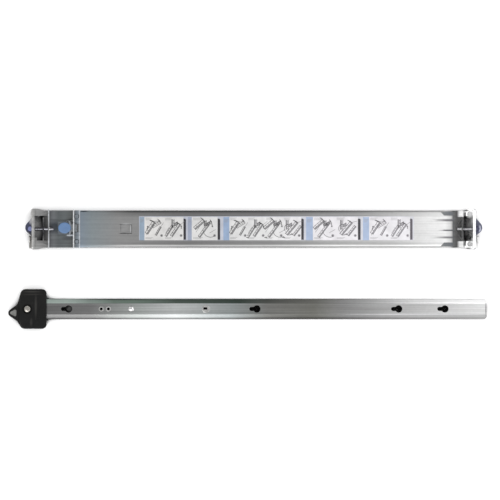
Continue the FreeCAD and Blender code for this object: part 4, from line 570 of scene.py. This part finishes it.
# each panel: where its blue strip, its paper, its bar and the bar's end are, in mm from the left,
# and how many pictures it holds
PANELS = (
    (0.8, 7.4, 61.0, 64.4, 2), (66.9, 72.4, 107.9, 111.4, 1), (115.8, 124.0, 222.8, 226.2, 4),
    (229.4, 238.8, 300.6, 304.2, 2), (307.5, 316.0, 372.2, 375.6, 2),
)
PEN = 0.62 * MM


def rail_sketch(x, y, size, lean, wide, hooks=True, shaded=True):
    """A slanted rail in outline, with its shaded side, ticks along it and hooks at its end."""
    run = Vector((math.cos(lean), math.sin(lean))) * size
    side = Vector((-math.sin(lean), math.cos(lean))) * wide
    start = Vector((x, y)) - run / 2
    end = start + run
    inner = side * 0.45
    if shaded:
        label.shape([tuple(p) for p in (start, end, end + inner, start + inner)], TINT, 3)
    label.path([tuple(p) for p in (start, end, end + side, start + side)], PEN, LINE, 4, closed=True)
    label.line(tuple(start + inner), tuple(end + inner), PEN * 0.6, LINE, 4)
    for step in range(1, 4):
        spot = start + run * (0.24 * step)
        label.line(tuple(spot + inner * 1.2), tuple(spot + side * 0.85), PEN * 0.8, LINE, 4)
    if hooks:
        back = side * 0.9 - run.normalized() * wide * 0.3
        label.path([tuple(p) for p in (end + side, end + side + back, end + back * 0.6)], PEN * 1.2, LINE, 4)


def post_sketch(x, y, size):
    """A rack post with its holes, and a bracket at its side."""
    wide = 1.7 * MM
    label.box(x - wide, y - size / 2, x + wide * 0.2, y + size / 2, TINT, 3)
    label.path([(x - wide, y - size / 2), (x - wide, y + size / 2)], PEN, LINE, 4)
    label.path([(x + wide, y - size / 2), (x + wide, y + size / 2)], PEN, LINE, 4)
    for step in range(5):
        label.dot(x + wide * 0.4, y - size * 0.38 + size * 0.19 * step, 0.5 * MM, LINE, 4)
    bracket = [(1, 0.2), (3.6, 1.6), (3.9, -0.4), (2.4, -1.4), (1, -1.6)]
    points = [(x + wide * across, y + wide * up) for across, up in bracket]
    label.shape(points, TINT, 3)
    label.path(points, PEN, LINE, 4, closed=True)


def arrow(x, y, length, turn, ink=LINE):
    way = Vector((math.cos(turn), math.sin(turn)))
    side = Vector((-way.y, way.x))
    start = Vector((x, y))
    end = start + way * length
    label.line(tuple(start), tuple(end), 0.9 * MM, ink, 5)
    tip = end + way * 2.0 * MM
    label.shape([tuple(end + side * 1.4 * MM), tuple(end - side * 1.4 * MM), tuple(tip)], ink, 5)


def sweep(x, y, radius, start, end):
    """A curved arrow's tail."""
    points = []
    for step in range(9):
        turn = math.radians(start + (end - start) * step / 8)
        points.append((x + radius * math.cos(turn), y + radius * math.sin(turn)))
    label.path(points, PEN, LINE, 5)


# the step pictures: rails (x, y, length, degrees, width, hooks, shaded), posts (x, y, size),
# arrows (x, y, length, degrees), sweeps (x, y, radius, from, to) and strokes (x, y, length, degrees)
PICTURES = (
    ([(-2.5, 0, 19, 57, 4.4, True, True), (5, 4, 13, 32, 3.6, True, False),
      (7.5, -4, 13, 60, 2.2, False, True)],
     [], [(-9, -1, 3.2, 70)], [], [(-10, -9, 8, 62), (10, 2, 7, 58), (-2, 9.5, 11, 4)]),
    ([(5, -3, 20, 56, 3.6, True, True), (-4, -4, 17, 58, 3.0, False, True)],
     [(0, 6.5, 12)], [(11.5, 0, 2.6, 95)], [], [(-10, -6, 9, 58), (9, 4, 9, 40), (-1, -9, 10, 56)]),
    ([(-5, 4, 17, 40, 4.2, True, True), (1, -4, 21, 53, 3.4, False, True),
      (6, 5, 11, 20, 3.0, True, False)],
     [(2, 7, 8)], [(11, 6, 2.6, -80)], [(9, -2, 10, 185, 300)], [(-11, -5, 10, 57), (8, -6, 9, 30)]),
    ([(2, -1, 22, 50, 4.0, True, True), (9, -4, 16, 52, 3.2, False, True)],
     [(-6, 5, 13)], [(-3, -9, 3.2, 20)], [(-4, 0, 6, 100, 220)], [(-9, -7, 8, 52), (6, 8, 9, 12)]),
)


def picture(kind, x, y):
    """One of the step pictures: rails, posts and brackets put together with arrows."""
    rails, posts, arrows, sweeps, strokes = PICTURES[kind]
    for across, up, length, turn, wide, hooks, shaded in rails:
        rail_sketch(x + across * MM, y + up * MM, length * MM, math.radians(turn), wide * MM, hooks, shaded)
    for across, up, size in posts:
        post_sketch(x + across * MM, y + up * MM, size * MM)
    for across, up, length, turn in arrows:
        arrow(x + across * MM, y + up * MM, length * MM, math.radians(turn))
    for across, up, radius, start, end in sweeps:
        sweep(x + across * MM, y + up * MM, radius * MM, start, end)
    for across, up, length, turn in strokes:
        start = Vector((x + across * MM, y + up * MM))
        way = Vector((math.cos(math.radians(turn)), math.sin(math.radians(turn))))
        label.line(tuple(start), tuple(start + way * length * MM), PEN * 0.8, GREY, 4)


def rules(x, y, width, count):
    """Blank grey rules where a caption would be."""
    for step in range(count):
        share = (1.0, 0.82, 0.92, 0.6)[step % 4]
        label.line((x, y - 1.3 * MM * step), (x + width * share, y - 1.3 * MM * step), 0.42 * MM, TINT, 3)


for number, (strip, sheet, bar, end, count) in enumerate(PANELS):
    label.box(left + strip * MM, low, left + sheet * MM, high, BLUE, 1)
    label.box(left + sheet * MM, low, left + bar * MM, high, PAPER, 1)
    rules(left + (strip + 1.2) * MM, high - 3 * MM, (sheet - strip - 2.4) * MM, 4)
    ink = LAST_BAR if number == len(PANELS) - 1 else BAR
    label.rounded_bar(left + bar * MM, bar_low, left + end * MM, bar_high, 1.8 * MM, ink, 2)
    step_width = (bar - sheet) * MM / count
    for step in range(count):
        x = left + sheet * MM + step_width * (step + 0.5)
        y = (low + high) / 2 + 0.2 * MM
        picture((number * 2 + step) % 4, x - 1.0 * MM, y)
        label.dot(x + step_width * 0.38, low + 6.5 * MM, 1.9 * MM, TINT, 4)
        label.dot(x + step_width * 0.38, low + 6.5 * MM, 0.8 * MM, LINE, 5)
        rules(x - step_width * 0.44, high - 1.4 * MM, step_width * 0.34, 3)
        rules(x - step_width * 0.44, low + 3.6 * MM, step_width * 0.36, 2)
    if number == 2:
        for step in range(count - 1):
            x = left + sheet * MM + step_width * (step + 1)
            arrow(x - 1.0 * MM, low + 3.8 * MM, 1.6 * MM, 0)
INKS = [paper, blue_ink, bar_ink, last_bar_ink, line_ink, tint_ink, grey_ink]
mesh_piece("label_print", label.mesh, INKS, "cabinet_rail")


SPRING_WIRE = 0.7 * MM


def coil(name, node, turns, wire, body, material):
    """A round-wire coil in place of the latch spring, with its last turns closed up."""
    low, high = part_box(node)
    centre = (low + high) / 2
    length = high.x - low.x - wire
    radius = (high.y - low.y) / 2 - wire / 2
    mesh = bmesh.new()
    per_turn, sides = 36, 12
    total = turns + 1.5
    rings = []
    for step in range(int(total * per_turn) + 1):
        turn = step / per_turn
        # the end turns rise slowly, so that they lie flat against their seats
        share = min(max((turn - 0.6) / (total - 1.2), 0), 1)
        ends = (min(turn, 0.6) + max(turn - total + 0.6, 0)) * wire / 0.6
        rise = share * (length - 2 * wire) + ends
        around = 2 * math.pi * turn
        outward = Vector((0, math.cos(around), math.sin(around)))
        spine = Vector((low.x + wire / 2 + rise, centre.y, centre.z)) + outward * radius
        ring = []
        for side in range(sides):
            angle = 2 * math.pi * side / sides
            ring.append(mesh.verts.new(
                spine + (outward * math.cos(angle) + Vector((math.sin(angle), 0, 0))) * wire / 2))
        rings.append(ring)
    for ring, following in zip(rings, rings[1:]):
        for side in range(sides):
            beside = (side + 1) % sides
            mesh.faces.new((ring[side], ring[beside], following[beside], following[side]))
    mesh.faces.new(rings[0])
    mesh.faces.new(rings[-1])
    bmesh.ops.recalc_face_normals(mesh, faces=mesh.faces)
    for face in mesh.faces:
        face.smooth = True
    piece = mesh_piece(name, mesh, [MATERIALS[material]], body)
    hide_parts(node)
    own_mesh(piece)


coil("front_spring_coil", "front_latch_spring", 5, SPRING_WIRE, "cabinet_rail",
     "front_spring_shaded")
coil("rear_spring_coil", "rear_latch_spring", 6, SPRING_WIRE, "rear_bracket",
     "spring")


def leaf():
    """The release lever's leaf spring, with a rounded tip; the lever presses it flat, but here it is built
    in its free bent shape.
    """
    low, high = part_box("release_spring")
    sheet = 0.4 * MM
    length, rise, half = high.x - low.x, high.z - low.z - sheet, (high.y - low.y) / 2
    centre = (low.y + high.y) / 2
    mesh = bmesh.new()
    rows, columns = 24, 8
    layers = ([], [])
    for row in range(rows + 1):
        share = row / rows
        x = low.x + length * share
        # an S-bend between the flat foot and the flat tip
        lift = min(max((0.82 - share) / 0.62, 0), 1)
        z = low.z + sheet / 2 + rise * lift * lift * (3 - 2 * lift)
        tip = max(1 - share * length / half, 0)
        width = half * math.sqrt(max(1 - tip * tip, 0.02))
        for layer, offset in zip(layers, (-sheet / 2, sheet / 2)):
            layer.append([
                mesh.verts.new((x, centre + width * (2 * column / columns - 1), z + offset))
                for column in range(columns + 1)
            ])
    for layer in layers:
        for near, far in zip(layer, layer[1:]):
            for column in range(columns):
                mesh.faces.new((near[column], near[column + 1], far[column + 1], far[column]))
    below, above = layers
    rims = [below[0], below[-1], [row[0] for row in below], [row[-1] for row in below]]
    upper_rims = [above[0], above[-1], [row[0] for row in above], [row[-1] for row in above]]
    for rim, upper in zip(rims, upper_rims):
        for step in range(len(rim) - 1):
            mesh.faces.new((rim[step], rim[step + 1], upper[step + 1], upper[step]))
    bmesh.ops.recalc_face_normals(mesh, faces=mesh.faces)
    piece = mesh_piece("release_leaf", mesh, [MATERIALS["spring"]], "cabinet_rail")
    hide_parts("release_spring")
    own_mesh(piece)


leaf()


# ---------------------------------------------------------------- stage, lights and camera
low, high = (Vector(corner) for corner in cad_box)
floor_mesh = bmesh.new()
FLOOR_REACH = 6.0
FLOOR_GAP = 0.2 * MM
for x, y in ((-1, -1), (1, -1), (1, 1), (-1, 1)):
    floor_mesh.verts.new((x * FLOOR_REACH, y * FLOOR_REACH, low.z - FLOOR_GAP))
floor_mesh.faces.new(floor_mesh.verts)
floor_data = bpy.data.meshes.new("floor")
floor_mesh.to_mesh(floor_data)
floor_mesh.free()
floor = bpy.data.objects.new("floor", floor_data)
bpy.context.scene.collection.objects.link(floor)
pale = Finish("floor_white", roughness=0.9, specular=0.1)
# the floor is painted near black as shadow where the rails close it in, so no light seems to fall
# through their narrow holes; painted light shows through the rear relief holes, and a little
# through the first keyhole and the front bracket's opening
FLOOR_WHITE = 0.93
floor_closeness = pale.add("ShaderNodeAmbientOcclusion", samples=16)
floor_closeness.inputs["Distance"].default_value = 50 * MM
floor_with_painted_shade = pale.ramp(floor_closeness.outputs["AO"], [(0.38, 0.004), (0.54, FLOOR_WHITE)])
bracket_low, bracket_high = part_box("rear_bracket")
RELIEF_FROM_END, RELIEF_INSET = 6.4 * MM, 7.4 * MM
relief_x = bracket_high.x - RELIEF_FROM_END
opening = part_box("front_bracket")[0].x + 5 * MM
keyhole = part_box("chassis_rail")[0].x + 67 * MM
for x, y, across_x, across_y, share in (
        (relief_x, bracket_low.y + RELIEF_INSET, 6.5 * MM, 6.5 * MM, 1.0),
        (relief_x, bracket_high.y - RELIEF_INSET, 6.5 * MM, 6.5 * MM, 1.0),
        (keyhole, middle("chassis_rail").y, 4.8 * MM, 4.8 * MM, 0.12),
        (opening, middle("front_bracket").y, 8.5 * MM, 24 * MM, 0.2)):
    painted_floor_light = pale.math("MULTIPLY", pale.spot(x, y, across_x, across_y), FLOOR_WHITE * share)
    floor_with_painted_shade = pale.mix(1.0, floor_with_painted_shade, painted_floor_light, "LIGHTEN")
pale.colour(floor_with_painted_shade)
pale.join(floor_with_painted_shade, pale.surface.inputs["Emission Color"])
pale.surface.inputs["Emission Strength"].default_value = 0.2
floor_data.materials.append(pale.material)

world = bpy.data.worlds.new("studio")
bpy.context.scene.world = world
world.use_nodes = True
sky = world.node_tree
sky.nodes.clear()
output = sky.nodes.new("ShaderNodeOutputWorld")
path = sky.nodes.new("ShaderNodeLightPath")
plain = sky.nodes.new("ShaderNodeBackground")
plain.inputs["Color"].default_value = (1, 1, 1, 1)
plain.inputs["Strength"].default_value = 1.05
room = sky.nodes.new("ShaderNodeBackground")
room.inputs["Strength"].default_value = 1.0
choose = sky.nodes.new("ShaderNodeMixShader")
place = sky.nodes.new("ShaderNodeTexCoord")
split = sky.nodes.new("ShaderNodeSeparateXYZ")
sky.links.new(place.outputs["Generated"], split.inputs[0])
# reflections see a room with bright and dark bands, from the -Y side (0) over the top to +Y (1)
ROOM_TONES = [
    (0.0, 0.35), (0.1, 0.6), (0.18, 0.8), (0.27, 1.25), (0.34, 1.35), (0.42, 0.8), (0.5, 0.62),
    (0.62, 0.52), (0.72, 0.66), (0.82, 0.86), (0.9, 0.5), (1.0, 0.25),
]
span = sky.nodes.new("ShaderNodeMapRange")
span.inputs["From Min"].default_value = -1
span.inputs["From Max"].default_value = 1
sky.links.new(split.outputs[1], span.inputs["Value"])
tone = sky.nodes.new("ShaderNodeValToRGB")
while len(tone.color_ramp.elements) < len(ROOM_TONES):
    tone.color_ramp.elements.new(0.5)
for element, (position, value) in zip(tone.color_ramp.elements, ROOM_TONES):
    element.position = position
    element.color = (value, value, value, 1)
sky.links.new(span.outputs["Result"], tone.inputs["Fac"])
sky.links.new(tone.outputs["Color"], room.inputs["Color"])
sky.links.new(path.outputs["Is Glossy Ray"], choose.inputs["Fac"])
sky.links.new(plain.outputs["Background"], choose.inputs[1])
sky.links.new(room.outputs["Background"], choose.inputs[2])
sky.links.new(choose.outputs["Shader"], output.inputs["Surface"])


def panel(name, place, target, size, power, across=None):
    """A soft rectangular light."""
    data = bpy.data.lights.new(name, "AREA")
    data.shape = "RECTANGLE"
    data.size = size
    data.size_y = across or size
    data.energy = power
    lamp = bpy.data.objects.new(name, data)
    bpy.context.scene.collection.objects.link(lamp)
    lamp.location = place
    lamp.rotation_euler = (Vector(target) - Vector(place)).to_track_quat("-Z", "Y").to_euler()
    lamp.visible_camera = False
    return lamp


panel("key", (-0.5, -1.1, 1.5), (0, 0, 0), 0.9, 7.0)
panel("fill", (0.9, 0.7, 1.3), (0.1, 0, 0), 0.8, 2.5)
panel("rear_glow", (0.42, 0.10, 0.55), (0.30, 0.06, 0), 0.22, 0.5, across=0.3)

# the view straight down; the rails fill its width but for a small margin, and lie below its middle
MARGIN = 1.045
AIM_X, AIM_Y = 3.4 * MM, 25.7 * MM
CAMERA_HEIGHT = 2.0
camera_data = bpy.data.cameras.new("camera")
camera_data.type = "ORTHO"
camera_data.ortho_scale = (high.x - low.x) * MARGIN
camera_data.clip_end = 20
camera = bpy.data.objects.new("camera", camera_data)
bpy.context.scene.collection.objects.link(camera)
camera.location = ((low.x + high.x) / 2 + AIM_X, (low.y + high.y) / 2 + AIM_Y, CAMERA_HEIGHT)
bpy.context.scene.camera = camera
bpy.context.scene.view_settings.view_transform = "Standard"
